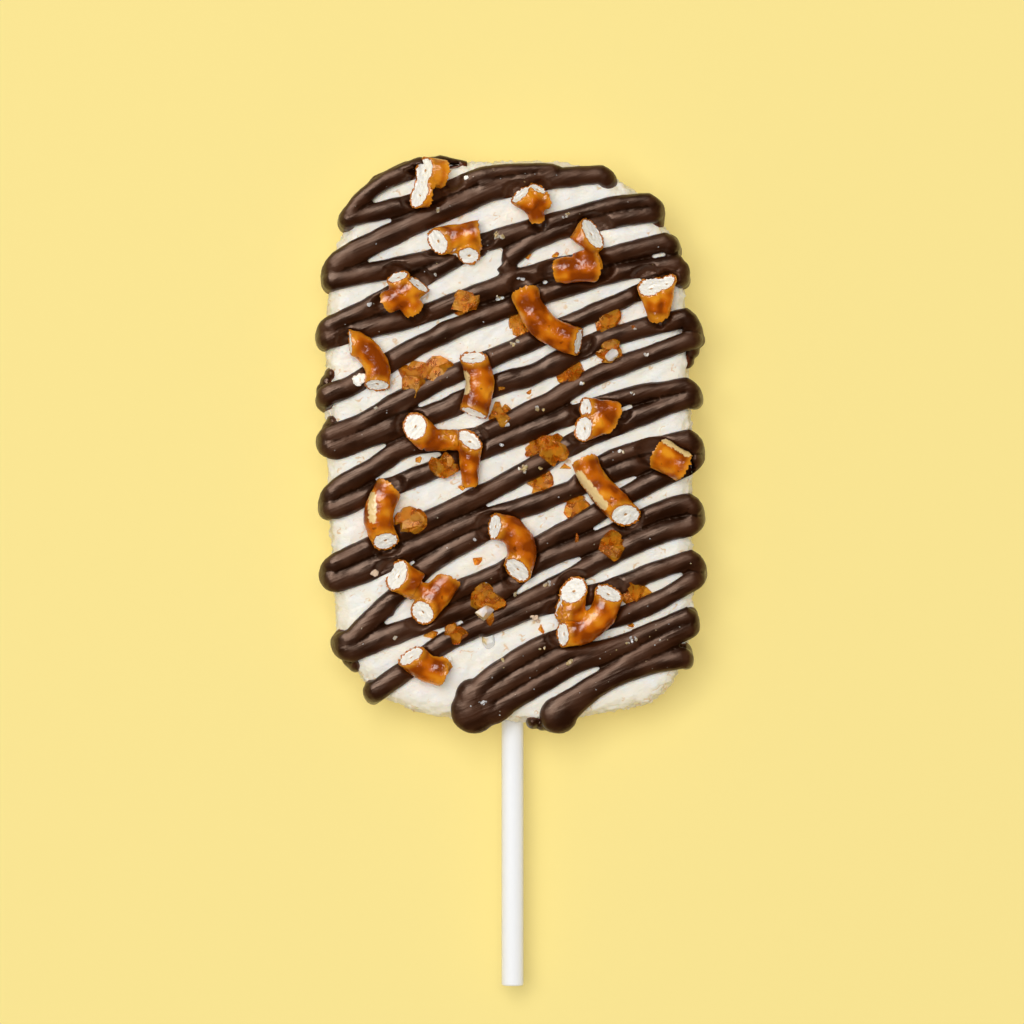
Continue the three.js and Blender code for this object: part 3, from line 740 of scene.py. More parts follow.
pressing = []
for radii, start, end, *path in (row for rows in pretzels.values() for row in rows):
    points = [Vector((x, y, 0)) for x, y in path]
    first, last = [pressed_end(*limb_end) for limb_end in limb_ends(points, radii, start, end)]
    spine = smooth_path([first, *points[1:-1], last], ROPE_STEP)
    pressing += [(point, mix(*radii, i / len(spine))) for i, point in enumerate(spine)]
pressing_tree = tree_of([point for point, _ in pressing])
for vert in chocolate.verts:
    _, i, distance = pressing_tree.find((vert.co.x, vert.co.y, 0))
    beyond = (distance - pressing[i][1] - PRESSED_MARGIN) / PRESSED_SLOPE
    below = surface_below(slab_tree, vert.co.x, vert.co.y)
    if beyond < 1 and below and vert.co.z > below.z + PRESSED_THICKNESS:
        vert.co.z = mix(below.z + PRESSED_THICKNESS, vert.co.z, max(0, beyond))
print("the chocolate is pressed at", len(pressing), "places")

# %% [markdown]
# The relief of a pretzel is of two kinds. The crust has soft blisters. In a break the crust shows as a thin
# brown rim with small teeth, and inside it lies the torn crumb, a little lower, with the small hole that runs
# down the middle of every rope, which the material paints tan brown as painted shade. Every point stores where
# it is: on the crust its distance to the nearest break, and in a break, counted negative, its distance in from
# the crust. It also stores how near the hole is, and how far it lies from a strip where the brown flaked off.

# %% Where a point lies on a pretzel
BREAK_DEPTH = 0.12
BREAK_REACH = 1.8
HOLE_RADIUS = 0.4
FAR_FROM_PEEL = 9.0
# Strips where the brown of the crust flaked off, by piece, as start, end and width
PEELS = {
    9: ((-8.2, 12.0), (-8.0, 9.4), 1.4),
    12: ((28.0, 0.4), (32.4, -2.2), 0.8),
    13: ((-25.0, -9.8), (-24.9, -14.0), 1.2),
    14: ((12.6, -6.0), (17.1, -11.5), 1.3),
}


def from_axis(co, point, direction):
    """How far a place lies from a point, along a direction and beside it."""
    offset = co - point
    depth = offset.dot(direction)
    return depth, (offset - direction * depth).length


def distance_to_break(vert, point, direction, radius):
    """How far a point of the skin lies from a break's face, in mm. It is about 0 on the face itself."""
    depth, beside = from_axis(vert.co, point, direction)
    turned_away = 1.0 if vert.normal.dot(direction) < 0.5 else 0.0
    return max(abs(depth), beside - BREAK_REACH * radius, BREAK_DEPTH * 1.5 * turned_away)


def distance_to_peel(co, start, end, width):
    """How far a point of the upper skin lies outside a strip where the brown flaked off."""
    if co.z < ROPE_MIDDLE:
        return FAR_FROM_PEEL
    start, end, place = Vector(start), Vector(end), co.to_2d()
    t = max(0, min(1, (place - start).dot(end - start) / (end - start).length_squared))
    return (place - start.lerp(end, t)).length - width / 2


def hole_share(co, point, direction):
    """How near a point of a break is to the hole in the middle of the rope, from 0 to 1."""
    return math.exp(-((from_axis(co, point, direction)[1] / HOLE_RADIUS) ** 2))


print("flaked strips on pretzels", list(PEELS))

# %% A whole pretzel
PRETZEL_VOXEL = 0.2
PRETZEL_SMOOTHINGS = 3
TOOTH_REACH = 0.6
TOOTH_LUMPS = [(0.45, 0.5)]
BLISTERS = [(0.16, 1.6), (0.05, 0.6)]
CRUMB_TEARS = [(0.12, 0.8), (0.08, 0.4)]
CRUMB_SINK = 0.25
HOLE_DEPTH = 0.3


def crumb_relief(co, inside, hole):
    """How far the torn crumb stands out from the plane of its break. inside is how far in from the crust."""
    sunk = -CRUMB_SINK * min(1, inside / 0.6)
    return sunk - HOLE_DEPTH * hole + rough(co, CRUMB_TEARS) * min(1, inside / 0.4)


def pretzel(number, limbs):
    """A whole piece: its limbs fused, with relief, and its three stores for the material."""
    whole = bmesh.new()
    breaks = []
    for row in limbs:
        rope, ends = limb(*row)
        poured(whole, rope)
        breaks += ends
    skin = fused(whole, PRETZEL_VOXEL, PRETZEL_SMOOTHINGS)
    skin.normal_update()
    nearest = [min((distance_to_break(v, *each), i) for i, each in enumerate(breaks)) for v in skin.verts]
    crust_tree = tree_of([v.co for v, (distance, _) in zip(skin.verts, nearest) if distance > BREAK_DEPTH])
    crumb, peel, hole = [skin.verts.layers.float.new(name) for name in ("crumb", "peel", "hole")]
    for vert, (distance, i) in zip(skin.verts, nearest):
        point, direction, _ = breaks[i]
        place = vert.co.copy()
        vert[peel] = distance_to_peel(place, *PEELS[number]) if number in PEELS else FAR_FROM_PEEL
        if distance <= BREAK_DEPTH:
            inside = crust_tree.find(place)[2]
            vert[crumb] = -inside
            vert[hole] = hole_share(place, point, direction)
            vert.co += direction * crumb_relief(place, inside, vert[hole])
        else:
            vert[crumb] = distance
            vert.co += vert.normal * rough(place, BLISTERS)
        vert.co += direction * rough(place, TOOTH_LUMPS) * max(0, 1 - abs(vert[crumb]) / TOOTH_REACH)
    return skin


# %% [markdown]
# Toffee, grains and crumbs lie on whatever is under them, strand or marshmallow. A ray cast straight down on
# the finished slab and drizzle finds that height, so nothing floats and nothing is buried.

# %% What lies under a place
chocolate_tree = BVHTree.FromBMesh(chocolate)


def ground(x, y):
    """The height of what lies under a place on the plan."""
    hits = [surface_below(tree, x, y) for tree in (slab_tree, chocolate_tree)]
    return max(hit.z if hit else 0 for hit in hits)


print("the ground at the middle is", round(ground(0, 0), 1), "mm high")

# %% [markdown]
# Toffee breaks like glass. A splinter starts as a small ball and is bisected by random planes until flat
# faces meet at sharp edges, which a tiny bevel softens. A chip is a few flat splinters stuck together, lying
# where the solid has it. Thinner flakes of toffee lie between the chips.

# %% A splinter
FLAT_TOP = 0.45
NEARLY_FLAT = math.radians(9)


def splinter(place, half_sizes, cuts, bevel, roundness=2):
    """A broken chip: a ball cut flat on top and on several sides, scaled and put in place."""
    bm = bmesh.new()
    bmesh.ops.create_icosphere(bm, subdivisions=roundness, radius=1)
    upward = Vector((luck.uniform(-0.3, 0.3), luck.uniform(-0.3, 0.3), 1)).normalized()
    cut(bm, Vector((0, 0, FLAT_TOP)), upward)
    for _ in range(cuts):
        outward = Vector((luck.uniform(-1, 1), luck.uniform(-1, 1), luck.uniform(-0.2, 0.4))).normalized()
        cut(bm, outward * luck.uniform(0.35, 0.8), outward)
    bmesh.ops.dissolve_limit(bm, angle_limit=NEARLY_FLAT, verts=bm.verts, edges=bm.edges)
    bmesh.ops.scale(bm, vec=half_sizes, verts=bm.verts)
    rounded(bm, bm.edges[:], bevel, 1)
    bmesh.ops.transform(bm, matrix=place, verts=bm.verts)
    return bm


def at_random(x, y, z, tilt):
    """A place with a random turn about Z and a small random tilt."""
    turn = Matrix.Rotation(luck.uniform(0, math.tau), 4, "Z")
    lean = Matrix.Rotation(math.radians(luck.uniform(-tilt, tilt)), 4, "X")
    return Matrix.Translation((x, y, z)) @ turn @ lean


# %% Chips and flakes of toffee
# Each row: x, y, half width, half length, height of its middle above the slab
CHIPS = [
    (-7.6, 24.9, 2.3, 2.2, 0.3), (-17.3, 11.8, 2.3, 2.3, 0.2), (-13.1, 13.8, 2.2, 2.3, 0.5),
    (-11.8, -4.4, 2.2, 1.9, 1.2), (18.4, 16.4, 2.1, 2.3, 1.2), (17.4, 21.8, 2.2, 2.0, 0.5),
    (1.4, 21.4, 1.6, 1.6, 0.1), (-1.9, 5.3, 1.7, 1.6, 0.2), (7.8, -0.7, 2.2, 2.2, 1.0),
    (4.4, -0.9, 1.8, 1.5, 0.2), (5.6, -7.6, 2.0, 2.1, 0.3), (-18.2, -14.0, 2.0, 2.1, 0.7),
    (12.2, -11.8, 2.0, 2.0, 0.3), (18.6, -18.6, 1.9, 2.0, 1.4), (-4.3, -29.4, 2.3, 3.9, 1.2),
    (22.6, -27.6, 2.2, 2.1, 0.3), (11.2, 12.6, 2.8, 1.8, 0.2), (-10.2, -34.6, 1.5, 1.5, 1.4),
]
CHIP_HEIGHT = 1.3
CHIP_SPLINTERS = 4
CHIP_CUTS = 7
CHIP_TILT = 16
CHIP_BEVEL = 0.07
# Each row: x, y, half width, half length and the turn of a thin flake in degrees
FLAKES = [
    (12.0, 13.3, 4.4, 1.6, 28), (8.2, 33.9, 0.9, 0.7, 20), (3.3, 33.9, 1.0, 0.9, 0),
    (3.6, 9.1, 0.9, 0.6, 60), (-5.8, -21.5, 1.7, 1.1, 25), (-14.6, -34.9, 1.5, 0.9, 20),
    (10.0, -4.4, 1.1, 1.0, 0), (5.6, -34.0, 0.8, 1.0, 0), (-16.7, -3.3, 1.0, 0.8, 30),
    (-8.6, -8.2, 1.0, 0.8, 0), (22.2, -33.3, 1.0, 0.8, 20), (12.2, -18.0, 0.5, 2.2, 8),
    (-1.6, 9.8, 0.8, 0.6, 50), (22.5, 20.8, 0.7, 0.5, 0),
]
FLAKE_HEIGHT = 0.22
FLAKE_SWELL = 1.1
FLAKE_CUTS = 9
FLAKE_BEVEL = 0.04

toffee = bmesh.new()
for middle_x, middle_y, half_width, half_length, height in CHIPS:
    for i in range(CHIP_SPLINTERS):
        angle = math.tau * i / CHIP_SPLINTERS + luck.uniform(-0.5, 0.5)
        x = middle_x + 0.5 * half_width * math.cos(angle)
        y = middle_y + 0.5 * half_length * math.sin(angle)
        flat = luck.uniform(0.4, 0.75) * CHIP_HEIGHT
        lying_at = max(SLAB_TOP + height, ground(x, y) + 0.3 * flat) + luck.uniform(0, 0.2)
        size = min(half_width, half_length) * luck.uniform(1.0, 1.45)
        sizes = (size, size * luck.uniform(0.7, 1), flat)
        poured(toffee, splinter(at_random(x, y, lying_at, CHIP_TILT), sizes, CHIP_CUTS, CHIP_BEVEL))
for x, y, half_width, half_length, angle in FLAKES:
    place = Matrix.Translation((x, y, ground(x, y))) @ Matrix.Rotation(math.radians(angle), 4, "Z")
    sizes = (half_width * FLAKE_SWELL, half_length * FLAKE_SWELL, FLAKE_HEIGHT)
    poured(toffee, splinter(place, sizes, FLAKE_CUTS, FLAKE_BEVEL))
print(len(CHIPS), "chips and", len(FLAKES), "flakes of toffee have", len(toffee.faces), "faces")

# %% [markdown]
# The larger crystals of sugar are placed one by one: they lie in drifts on the strands and stick to the
# toffee. Smaller grains were scattered by hand, so a seeded draw scatters them here.

# %% Crystals and grains of sugar
# Each row: x, y, half size of the crystal, and how many lie there together
CRYSTALS = [
    (-13.1, 42.2, 0.55, 1), (-1.8, 37.7, 0.4, 9), (2.0, 29.8, 0.4, 3), (-25.5, 25.1, 0.5, 1),
    (-13.5, 30.4, 0.4, 1), (-2.2, 26.4, 0.35, 2), (0.9, 18.0, 0.4, 4), (-24.4, 6.2, 0.55, 1),
    (22.8, 20.7, 0.35, 2), (24.9, 16.0, 0.4, 2), (13.1, 10.6, 0.4, 2), (5.6, 6.2, 0.4, 4),
    (-0.9, 3.6, 0.45, 6), (22.4, 8.9, 0.35, 2), (-1.5, -0.7, 0.4, 2), (2.4, -4.9, 0.45, 6),
    (5.8, -4.7, 0.4, 2), (20.2, -1.6, 0.4, 2), (-6.4, -17.7, 0.45, 1), (-20.9, -35.5, 0.6, 1),
    (0.9, -27.7, 0.55, 1), (6.7, -25.8, 0.4, 4), (5.8, -37.3, 0.3, 3), (-4.7, -47.5, 0.3, 4),
    (10.6, -40.0, 0.4, 4), (22.2, -36.0, 0.35, 7), (10.4, 41.3, 0.35, 5), (27.3, -36.0, 0.3, 1),
    (-1.3, -39.7, 0.45, 2), (-9.0, 24.6, 0.25, 12), (18.6, -18.6, 0.25, 16), (-7.3, 25.6, 0.25, 12),
]
CRYSTAL_SPREAD = 0.375
# Each row: x, y, height above the slab and half size of a large clear crystal
CLEAR_CRYSTALS = [(18.9, 15.9, 2.7, 1.7), (-4.6, -30.8, 2.8, 2.2), (-4.0, -36.2, 0.3, 1.7)]
CLEAR_CRYSTAL_TILT = 15
GRAINS = 110
GRAIN_SIZE = (0.08, 0.2)
GRAIN_STRAY = 1.2
GRAIN_TILT = 40


def grain_of_sugar(place, size):
    """One small crystal: a splinter with few faces."""
    sizes = (size, size * luck.uniform(0.6, 1), size * luck.uniform(0.4, 0.8))
    return splinter(place, sizes, 4, 0.12 * size, roundness=1)


sugar = bmesh.new()
for middle_x, middle_y, half_size, number in CRYSTALS:
    for _ in range(number):
        away = CRYSTAL_SPREAD * math.sqrt(number - 1)
        x = middle_x + luck.uniform(-away, away)
        y = middle_y + luck.uniform(-away, away) * 0.6
        size = half_size * luck.uniform(0.8, 1.3)
        place = at_random(x, y, ground(x, y) + 0.2 * size, GRAIN_TILT)
        poured(sugar, grain_of_sugar(place, size))
for x, y, height, size in CLEAR_CRYSTALS:
    place = at_random(x, y, SLAB_TOP + height, CLEAR_CRYSTAL_TILT)
    poured(sugar, splinter(place, (size, size * 0.85, size * 0.4), 7, 0.06))
for _ in range(GRAINS):
    point = luck.choice(run_spine(luck.choice(PASSES)[3:]))
    x, y = point.x, point.y + luck.uniform(-GRAIN_STRAY, GRAIN_STRAY)
    place = at_random(x, y, ground(x, y), GRAIN_TILT)
    poured(sugar, grain_of_sugar(place, luck.uniform(*GRAIN_SIZE)))
print(GRAINS, "grains and", sum(row[3] for row in CRYSTALS), "crystals of sugar")

# %% [markdown]
# A few crumbs of pretzel fell beside the pieces. Each is a rough little ball with lumps on it, in the
# material of the pretzels.

# %% Crumbs
# Each row: x, y, half width, length and height, and how brown it is from 0 to 1
CRUMBS = [
    (-27.6, 11.2, 1.3, 1.5, 1.0, 0.0), (-9.9, 34.4, 0.9, 0.7, 0.6, 0.0), (-8.8, 33.7, 0.6, 0.6, 0.5, 0.0),
    (-10.8, 35.0, 0.6, 0.5, 0.5, 0.0), (-24.6, -23.7, 0.9, 0.7, 0.6, 0.6), (4.7, -31.9, 0.9, 0.8, 0.7, 0.6),
    (-11.3, -39.4, 0.8, 0.5, 1.0, 0.1), (-8.0, 48.2, 0.45, 0.45, 0.4, 0.3),
]
CRUMB_CORE = 0.7
CRUMB_LUMPS = 6
CRUMB_VOXEL = 0.14
CRUMB_RELIEF = [(0.25, 0.7), (0.2, 0.35)]

crumbs = bmesh.new()
for x, y, *half_sizes, _ in CRUMBS:
    rise = 0.5 * half_sizes[2]
    poured(crumbs, ball(x, y, ground(x, y) + rise, [CRUMB_CORE * size for size in half_sizes]))
    for _ in range(CRUMB_LUMPS):
        lump_x = x + half_sizes[0] * luck.uniform(-0.7, 0.7)
        lump_y = y + half_sizes[1] * luck.uniform(-0.7, 0.7)
        lump_sizes = [luck.uniform(0.25, 0.5) * size for size in half_sizes]
        poured(crumbs, ball(lump_x, lump_y, ground(lump_x, lump_y) + rise, lump_sizes))
crumbs = fused(crumbs, CRUMB_VOXEL, 1)
crumbs.normal_update()
crumb, toasted = [crumbs.verts.layers.float.new(name) for name in ("crumb", "hole")]
for vert in crumbs.verts:
    nearest = min((math.dist(vert.co.xy, row[:2]), row[5]) for row in CRUMBS)
    vert[crumb] = -1
    vert[toasted] = nearest[1]
    vert.co += vert.normal * rough(vert.co, CRUMB_RELIEF)
print(len(CRUMBS), "crumbs have", len(crumbs.faces), "faces")

# %% [markdown]
# The stick is paper rolled tightly into a rod. It is a cone whose two radii are the same, with its ends
# bevelled as the rolling leaves them, and a few insets in the end face for the turns of the roll.

# %% The paper stick
STICK_SIDES = 64
STICK_LENGTH = STICK_TOP - STICK_FOOT
STICK_BEVEL = 0.35
ROLL_TURNS = 3
ROLL_THICKNESS = 0.28
ROLL_STEP = 0.05


stick = bmesh.new()
bmesh.ops.create_cone(
    stick, cap_ends=True, segments=STICK_SIDES, radius1=STICK_RADIUS, radius2=STICK_RADIUS,
    depth=STICK_LENGTH, matrix=Matrix.Translation((0, 0, STICK_LENGTH / 2)),
)
rounded(stick, level_edges(stick), STICK_BEVEL, 5, clamp=False)
caps = [face for face in stick.faces if len(face.verts) == STICK_SIDES]
for turn in range(ROLL_TURNS):
    depth = -ROLL_STEP if turn % 2 else ROLL_STEP
    bmesh.ops.inset_region(stick, faces=caps, thickness=ROLL_THICKNESS, depth=depth)
foot = Matrix.Translation((STICK_OFFSET, STICK_FOOT, SLAB_TOP / 2))
bmesh.ops.transform(stick, matrix=foot @ Matrix.Rotation(math.radians(-90), 4, "X"), verts=stick.verts)
print("the stick is", round(STICK_LENGTH, 1), "mm long")


# %% [markdown]
# Materials come next. A pattern is read from object coordinates through a Mapping node of the texture kind,
# which turns first and then divides, so its scale is simply the size of a feature in metres along, across and
# up. Colours are given as they are seen, and turned into the linear values that the shader needs. Most
# materials are built in layers: a colour is laid over the last one where some value runs high.

# %% Helpers for materials
def seen(red, green, blue):
    """A colour as it is seen, 0 to 255, as a linear colour for a shader."""
    channels = [value / 255 for value in (red, green, blue)]
    linear = [c / 12.92 if c <= 0.04045 else ((c + 0.055) / 1.055) ** 2.4 for c in channels]
    return (*linear, 1)


def new_material(name):
    """A new material, its node tree and its shader."""
    material = bpy.data.materials.new(name)
    material.use_nodes = True
    tree = material.node_tree
    print("material", name)
    return material, tree, tree.nodes["Principled BSDF"]


def give(tree, node, inputs):
    """Sets a node's inputs to values, or links them from sockets."""
    for name, value in inputs.items():
        if isinstance(value, bpy.types.NodeSocket):
            tree.links.new(value, node.inputs[name])
        else:
            node.inputs[name].default_value = value


def add(tree, kind, inputs, **settings):
    """A node with its settings and its inputs."""
    made = tree.nodes.new(kind)
    for name, value in settings.items():
        setattr(made, name, value)
    give(tree, made, inputs)
    return made


def stored(tree, name):
    """What each point of the mesh stores under a name."""
    return add(tree, "ShaderNodeAttribute", {}, attribute_name=name).outputs["Fac"]


def object_place(tree):
    return add(tree, "ShaderNodeTexCoord", {}).outputs["Object"]


def cloud(tree, size, detail, turn=0.0):
    """Soft noise from 0 to 1. size is that of a feature in mm, or its size along, across and up."""
    sizes = size if isinstance(size, tuple) else (size, size, size)
    inputs = {"Vector": object_place(tree), "Rotation": (0, 0, turn), "Scale": [side * MM for side in sizes]}
    place = add(tree, "ShaderNodeMapping", inputs, vector_type="TEXTURE").outputs["Vector"]
    return add(tree, "ShaderNodeTexNoise", {"Vector": place, "Scale": 1.0, "Detail": detail}).outputs["Fac"]


def spread(tree, value, low, high, to_low=0.0, to_high=1.0):
    """A value stretched from one range to another, without leaving it."""
    inputs = {"Value": value, "From Min": low, "From Max": high, "To Min": to_low, "To Max": to_high}
    return add(tree, "ShaderNodeMapRange", inputs, interpolation_type="SMOOTHSTEP").outputs["Result"]


def blended(tree, share, first, second):
    """Two colours mixed by share. The node's sockets 6, 7 and 2 are those for colours."""
    return add(tree, "ShaderNodeMix", {0: share, 6: first, 7: second}, data_type="RGBA").outputs[2]


def painted(tree, base, *layers):
    """The base with colours laid over it, one after the other. Each layer is a colour, a value, and from
    where to where the colour comes in along that value, up to a share."""
    for colour, value, low, high, share in layers:
        base = blended(tree, spread(tree, value, low, high, 0, share), base, colour)
    return base


def bumped(tree, height, depth, before=None):
    """Normals for a height from 0 to 1 that stands for depth in mm, on top of those before."""
    inputs = {"Height": height, "Distance": depth * MM, "Strength": 1.0}
    if before is not None:
        inputs["Normal"] = before
    return add(tree, "ShaderNodeBump", inputs).outputs["Normal"]


def calc(tree, operation, first, second):
    return add(tree, "ShaderNodeMath", {0: first, 1: second}, operation=operation).outputs[0]


# %% [markdown]
# Dark chocolate that set in the open is satin, not glossy: its highlights are soft and brownish, so the
# reflections are tinted, and weaker in the creases. The creases are also painted a near black brown, as
# painted shade. Fine lines run along the strands, all near one direction, so noise drawn out that way gives
# shallow grooves.

# %% Chocolate
STRAND_DIRECTION = math.radians(24)
CHOCOLATE_DARK = seen(41, 17, 4)
CHOCOLATE_BROWN = seen(62, 30, 10)
# Painted shade: a near black brown for the creases between strands
CREASE_PAINTED_SHADE = seen(22, 9, 2)
THIN_CHOCOLATE = seen(128, 58, 28)
CREASE_FULL = 0.08

chocolate_look, tree, shader = new_material("dark_chocolate")
patches = cloud(tree, (6, 3, 3), 2, STRAND_DIRECTION)
crease_depth = stored(tree, "crease")
dark = painted(
    tree, CHOCOLATE_DARK,
    (CHOCOLATE_BROWN, patches, 0.35, 0.65, 1),
    # painted shade laid into the creases, by how deep each point lies
    (CREASE_PAINTED_SHADE, crease_depth, 0.0, CREASE_FULL, 0.75),
    (THIN_CHOCOLATE, stored(tree, "near_slab"), 0.1, 0.9, 0.4),
)
grooves = bumped(tree, cloud(tree, (12, 0.6, 0.8), 4, STRAND_DIRECTION), 0.1)
give(tree, shader, {
    "Base Color": dark,
    "Roughness": spread(tree, patches, 0.35, 0.65, 0.32, 0.48),
    "Specular IOR Level": spread(tree, crease_depth, 0.0, CREASE_FULL, 0.58, 0.12),
    "Specular Tint": (1.0, 0.7, 0.52, 1),
    "Normal": bumped(tree, cloud(tree, 0.5, 2), 0.02, grooves),
})

# %% [markdown]
# Marshmallow scatters light inside, so it has some subsurface in near white. It is creamier towards its rim.
# Thin tan flecks lie on it, each a short curved line: they are the narrow bands where one noise passes its
# middle value, kept only where a second noise is high.

# %% Marshmallow
MARSHMALLOW_WHITE = seen(246, 243, 235)
MARSHMALLOW_CREAM = seen(251, 240, 220)
FLECK_TAN = seen(226, 182, 120)
SPECK_TAN = seen(205, 160, 105)

marshmallow_look, tree, shader = new_material("marshmallow")
shaking = calc(tree, "MULTIPLY", calc(tree, "SUBTRACT", cloud(tree, 3.5, 3), 0.5), 12)
shaken_rim = calc(tree, "ADD", stored(tree, "rim"), shaking)
winding = cloud(tree, (3.2, 2.0, 2.0), 2, STRAND_DIRECTION)
off_middle = calc(tree, "ABSOLUTE", calc(tree, "SUBTRACT", winding, 0.5), 0)
somewhere = spread(tree, cloud(tree, 2.2, 2), 0.56, 0.66)
fleck = calc(tree, "MULTIPLY", spread(tree, off_middle, 0.045, 0.0), somewhere)
body = painted(tree, MARSHMALLOW_WHITE, (MARSHMALLOW_CREAM, shaken_rim, 6, 0, 1))
body = blended(tree, calc(tree, "MULTIPLY", fleck, 0.75), body, FLECK_TAN)
body = painted(tree, body, (SPECK_TAN, cloud(tree, (0.8, 0.5, 0.5), 2), 0.72, 0.78, 0.6))
soft_lumps = bumped(tree, cloud(tree, (2.2, 1.6, 1.6), 3, STRAND_DIRECTION), 0.42)
give(tree, shader, {
    "Base Color": body,
    "Roughness": 0.5,
    "Subsurface Weight": 0.3,
    "Subsurface Radius": (1.0, 0.75, 0.5),
    "Subsurface Scale": 0.0012,
    "Normal": bumped(tree, cloud(tree, (0.7, 0.5, 0.5), 3), 0.08, soft_lumps),
})

# %% [markdown]
# A pretzel has three looks. The crust was dipped in lye, so it is glossy and runs from gold on its flanks to
# a deep red brown on top, with darker blisters. Where the brown flaked off it is pale gold and still smooth.
# The crumb is dry and cream white, and so porous that light comes through it: a faint glow of its own stands
# for that. Its pores are painted a darker cream, and the hole down its middle a tan brown, both as painted
# shade. The stored distances, shaken by noise, draw the ragged lines between them.

# %% Pretzel crust and crumb
CRUST_GOLD = seen(240, 154, 30)
CRUST_BROWN = seen(196, 96, 4)
CRUST_RED_BROWN = seen(122, 46, 2)
BLISTER_BROWN = seen(92, 34, 4)
CRUST_BY_BREAK = seen(228, 148, 32)
CRUST_RIM = seen(196, 112, 28)
FLAKED_GOLD = seen(240, 206, 142)
# Painted shade: the darker cream laid in the pores of the crumb
CRUMB_PORE_SHADE = seen(236, 220, 188)
CRUMB_WHITE = seen(255, 250, 238)
# Painted shade in the hole down the middle of the rope; on crumbs the same colour is their real toasting
HOLE_SHADE_AND_TOAST = seen(186, 134, 74)
FLANK_HEIGHT = 20.0 * MM
TOP_HEIGHT = 22.8 * MM
CRUMB_GLOW = 0.13

pretzel_look, tree, shader = new_material("pretzel")
crumb_distance = stored(tree, "crumb")
ragged = calc(tree, "SUBTRACT", cloud(tree, 0.45, 2), 0.5)
crust = spread(tree, calc(tree, "ADD", crumb_distance, calc(tree, "MULTIPLY", ragged, 0.7)), -0.48, -0.34)
height = add(tree, "ShaderNodeSeparateXYZ", {"Vector": object_place(tree)}).outputs["Z"]
upward = spread(tree, height, FLANK_HEIGHT, TOP_HEIGHT, -0.12, 0.12)
browning = calc(tree, "ADD", cloud(tree, 3.2, 1), upward)
baked = painted(
    tree, CRUST_GOLD,
    (CRUST_BROWN, browning, 0.34, 0.58, 1),
    (CRUST_RED_BROWN, browning, 0.54, 0.72, 0.8),
    (BLISTER_BROWN, cloud(tree, 1.2, 2), 0.66, 0.74, 0.6),
    (CRUST_BY_BREAK, crumb_distance, 1.3, 0.0, 0.8),
    (CRUST_RIM, crumb_distance, 0.1, -0.15, 1),
    (FLAKED_GOLD, calc(tree, "ADD", stored(tree, "peel"), ragged), 0.25, 0.0, 1),
)
pores = cloud(tree, 0.4, 3)
# The pores and the hole get painted shade; on crumbs the hole's store holds how toasted they are
crumb_colour = painted(
    tree, CRUMB_PORE_SHADE, (CRUMB_WHITE, pores, 0.30, 0.44, 1), (HOLE_SHADE_AND_TOAST, stored(tree, "hole"), 0.3, 0.8, 1)
)
give(tree, shader, {
    "Base Color": blended(tree, crust, crumb_colour, baked),
    "Emission Color": crumb_colour,
    "Emission Strength": spread(tree, crust, 0, 1, CRUMB_GLOW, 0),
    "Roughness": spread(tree, crust, 0, 1, 0.75, 0.15),
    "Normal": bumped(tree, pores, 0.03, bumped(tree, cloud(tree, 0.8, 3), 0.13)),
})

# %% [markdown]
# Toffee is clear amber with some light passing through, and its faces have a fine crackle. Sugar is almost
# clear and white. The paper of the stick is matt and nearly white, with faint fibres along it.

# %% Toffee, sugar and paper
TOFFEE_DARK = seen(206, 106, 8)
TOFFEE_LIGHT = seen(246, 168, 44)
SUGAR_WHITE = seen(250, 249, 246)
SUGAR_CREAM = seen(243, 214, 150)
PAPER_SHADE = seen(248, 248, 247)
PAPER_WHITE = seen(254, 254, 253)

toffee_look, tree, shader = new_material("toffee")
give(tree, shader, {
    "Base Color": painted(tree, TOFFEE_DARK, (TOFFEE_LIGHT, cloud(tree, 1.4, 3), 0.38, 0.62, 1)),
    "Roughness": 0.12,
    "Transmission Weight": 0.65,
    "Specular IOR Level": 0.4,
    "Specular Tint": (1.0, 0.62, 0.25, 1),
    "IOR": 1.5,
    "Normal": bumped(tree, cloud(tree, 0.6, 3), 0.11),
})

sugar_look, tree, shader = new_material("sugar")
give(tree, shader, {
    "Base Color": painted(tree, SUGAR_WHITE, (SUGAR_CREAM, cloud(tree, 2.5, 2), 0.45, 0.6, 1)),
    "Roughness": 0.2,
    "Transmission Weight": 0.55,
})

paper_look, tree, shader = new_material("rolled_paper")
fibres = cloud(tree, (0.12, 3, 0.12), 3)
give(tree, shader, {
    "Base Color": blended(tree, fibres, PAPER_SHADE, PAPER_WHITE),
    "Roughness": 0.55,
    "Normal": bumped(tree, fibres, 0.02),
})

# %% [markdown]
# Every piece gets its material, rides on the pop's one body and takes the place of its solid, which is hidden.
# The slab, the drizzle, the toffee, the sugar and the crumbs are fused in one solid, so all five take its
# place.

# %% Finish the pieces
for bm, name, material, smooth in (
    (slab, "marshmallow_slab", marshmallow_look, True),
    (chocolate, "chocolate_drizzle", chocolate_look, True),
    (toffee, "toffee_chips", toffee_look, False),
    (sugar, "sugar_grains", sugar_look, False),
    (crumbs, "pretzel_crumbs", pretzel_look, True),
):
    finished(bm, name, material, "marshmallow", "marshmallow", smooth=smooth)
finished(stick, "paper_stick", paper_look, "paper", "stick")
for number, limbs in pretzels.items():
    node = f"pretzel_{number:02d}"
    finished(pretzel(number, limbs), "broken_" + node, pretzel_look, "pretzel", node)

# %% [markdown]
# The pop lies on a plain pale yellow floor that glows a little, as a lit backdrop does, so its shadows stay
# light. A large lamp high above, a little to the upper left, gives the short soft shadows, and an even
# surround fills them. Neither shows as a reflection. The reflections come from a wide card at the upper left,
# which lights nothing else: it draws the broad highlight along each strand, and leaves the rest of the
# chocolate dark.

# %% Floor and light
FLOOR_HALF_SIZE = 2
FLOOR_COLOUR = seen(252, 231, 148)
FLOOR_GLOW = 0.28
LAMP_POWER = 19.5
CARD_POWER = 34
SURROUND = 0.3

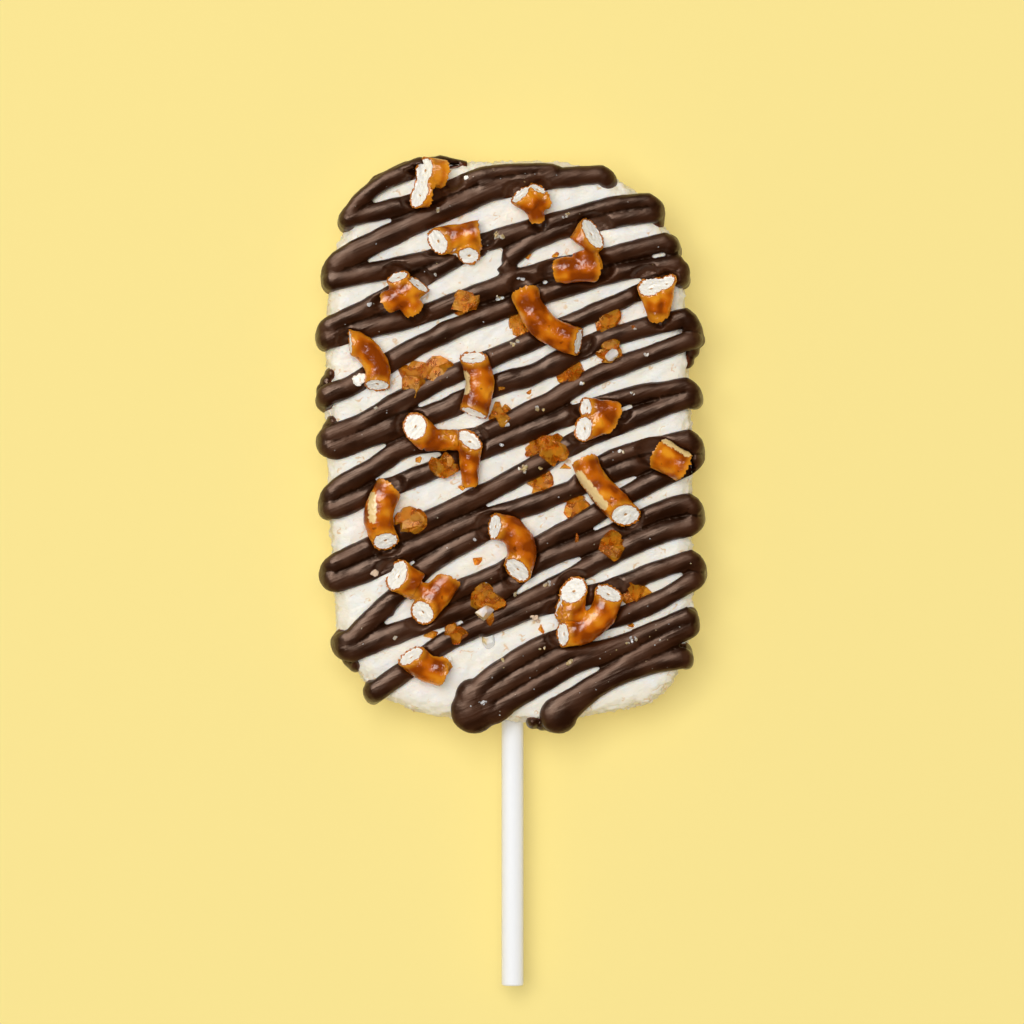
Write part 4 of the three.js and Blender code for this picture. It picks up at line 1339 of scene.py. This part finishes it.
floor_shape = bmesh.new()
bmesh.ops.create_grid(floor_shape, x_segments=1, y_segments=1, size=FLOOR_HALF_SIZE)
floor = linked("floor", mesh_of("floor", floor_shape))
floor_look, tree, shader = new_material("pale_floor")
give(tree, shader, {
    "Base Color": [(1 - FLOOR_GLOW) * channel for channel in FLOOR_COLOUR[:3]] + [1],
    "Emission Color": FLOOR_COLOUR,
    "Emission Strength": FLOOR_GLOW,
    "Roughness": 0.9,
    "Specular IOR Level": 0.0,
})
floor.data.materials.append(floor_look)


def lamp(name, place, size, power):
    """A square lamp that looks at the middle of the pop."""
    light = bpy.data.lights.new(name, "AREA")
    light.size = size
    light.energy = power
    holder = linked(name, light)
    holder.location = place
    holder.rotation_euler = (-Vector(place)).to_track_quat("-Z", "Y").to_euler()
    return holder


above = lamp("lamp_above", (-0.2, 0.2, 1.6), 0.85, LAMP_POWER)
above.visible_glossy = False
card = lamp("reflected_card", (-0.7, 0.7, 1.0), 1.1, CARD_POWER)
card.visible_diffuse = False
world = bpy.data.worlds.new("surround")
world.use_nodes = True
give(world.node_tree, world.node_tree.nodes["Background"], {"Color": (1, 1, 1, 1), "Strength": SURROUND})
world.cycles_visibility.glossy = False
bpy.context.scene.world = world
bpy.context.scene.view_settings.view_transform = "Standard"
print("lamps of", LAMP_POWER, "and", CARD_POWER, "watts")

# %% [markdown]
# The photo looks straight down from far away. A long lens at 1.5 m keeps the sides of the slab hidden, as
# there. Its frame is 186 mm wide, and its middle lies a little towards the stick from the slab's middle.

# %% Camera
VIEW_WIDTH = 186.4
VIEW_MIDDLE = (0.4, -12.7)
CAMERA_HEIGHT = 1500.0
SENSOR = 36.0

camera = bpy.data.cameras.new("camera")
camera.sensor_width = SENSOR
camera.lens = SENSOR * (CAMERA_HEIGHT - SLAB_TOP) / VIEW_WIDTH
camera.clip_end = 10
holder = linked("camera", camera)
holder.location = PLAN_TO_FRAME @ Vector((*VIEW_MIDDLE, CAMERA_HEIGHT))
bpy.context.scene.camera = holder
print("the lens is", round(camera.lens), "mm long")
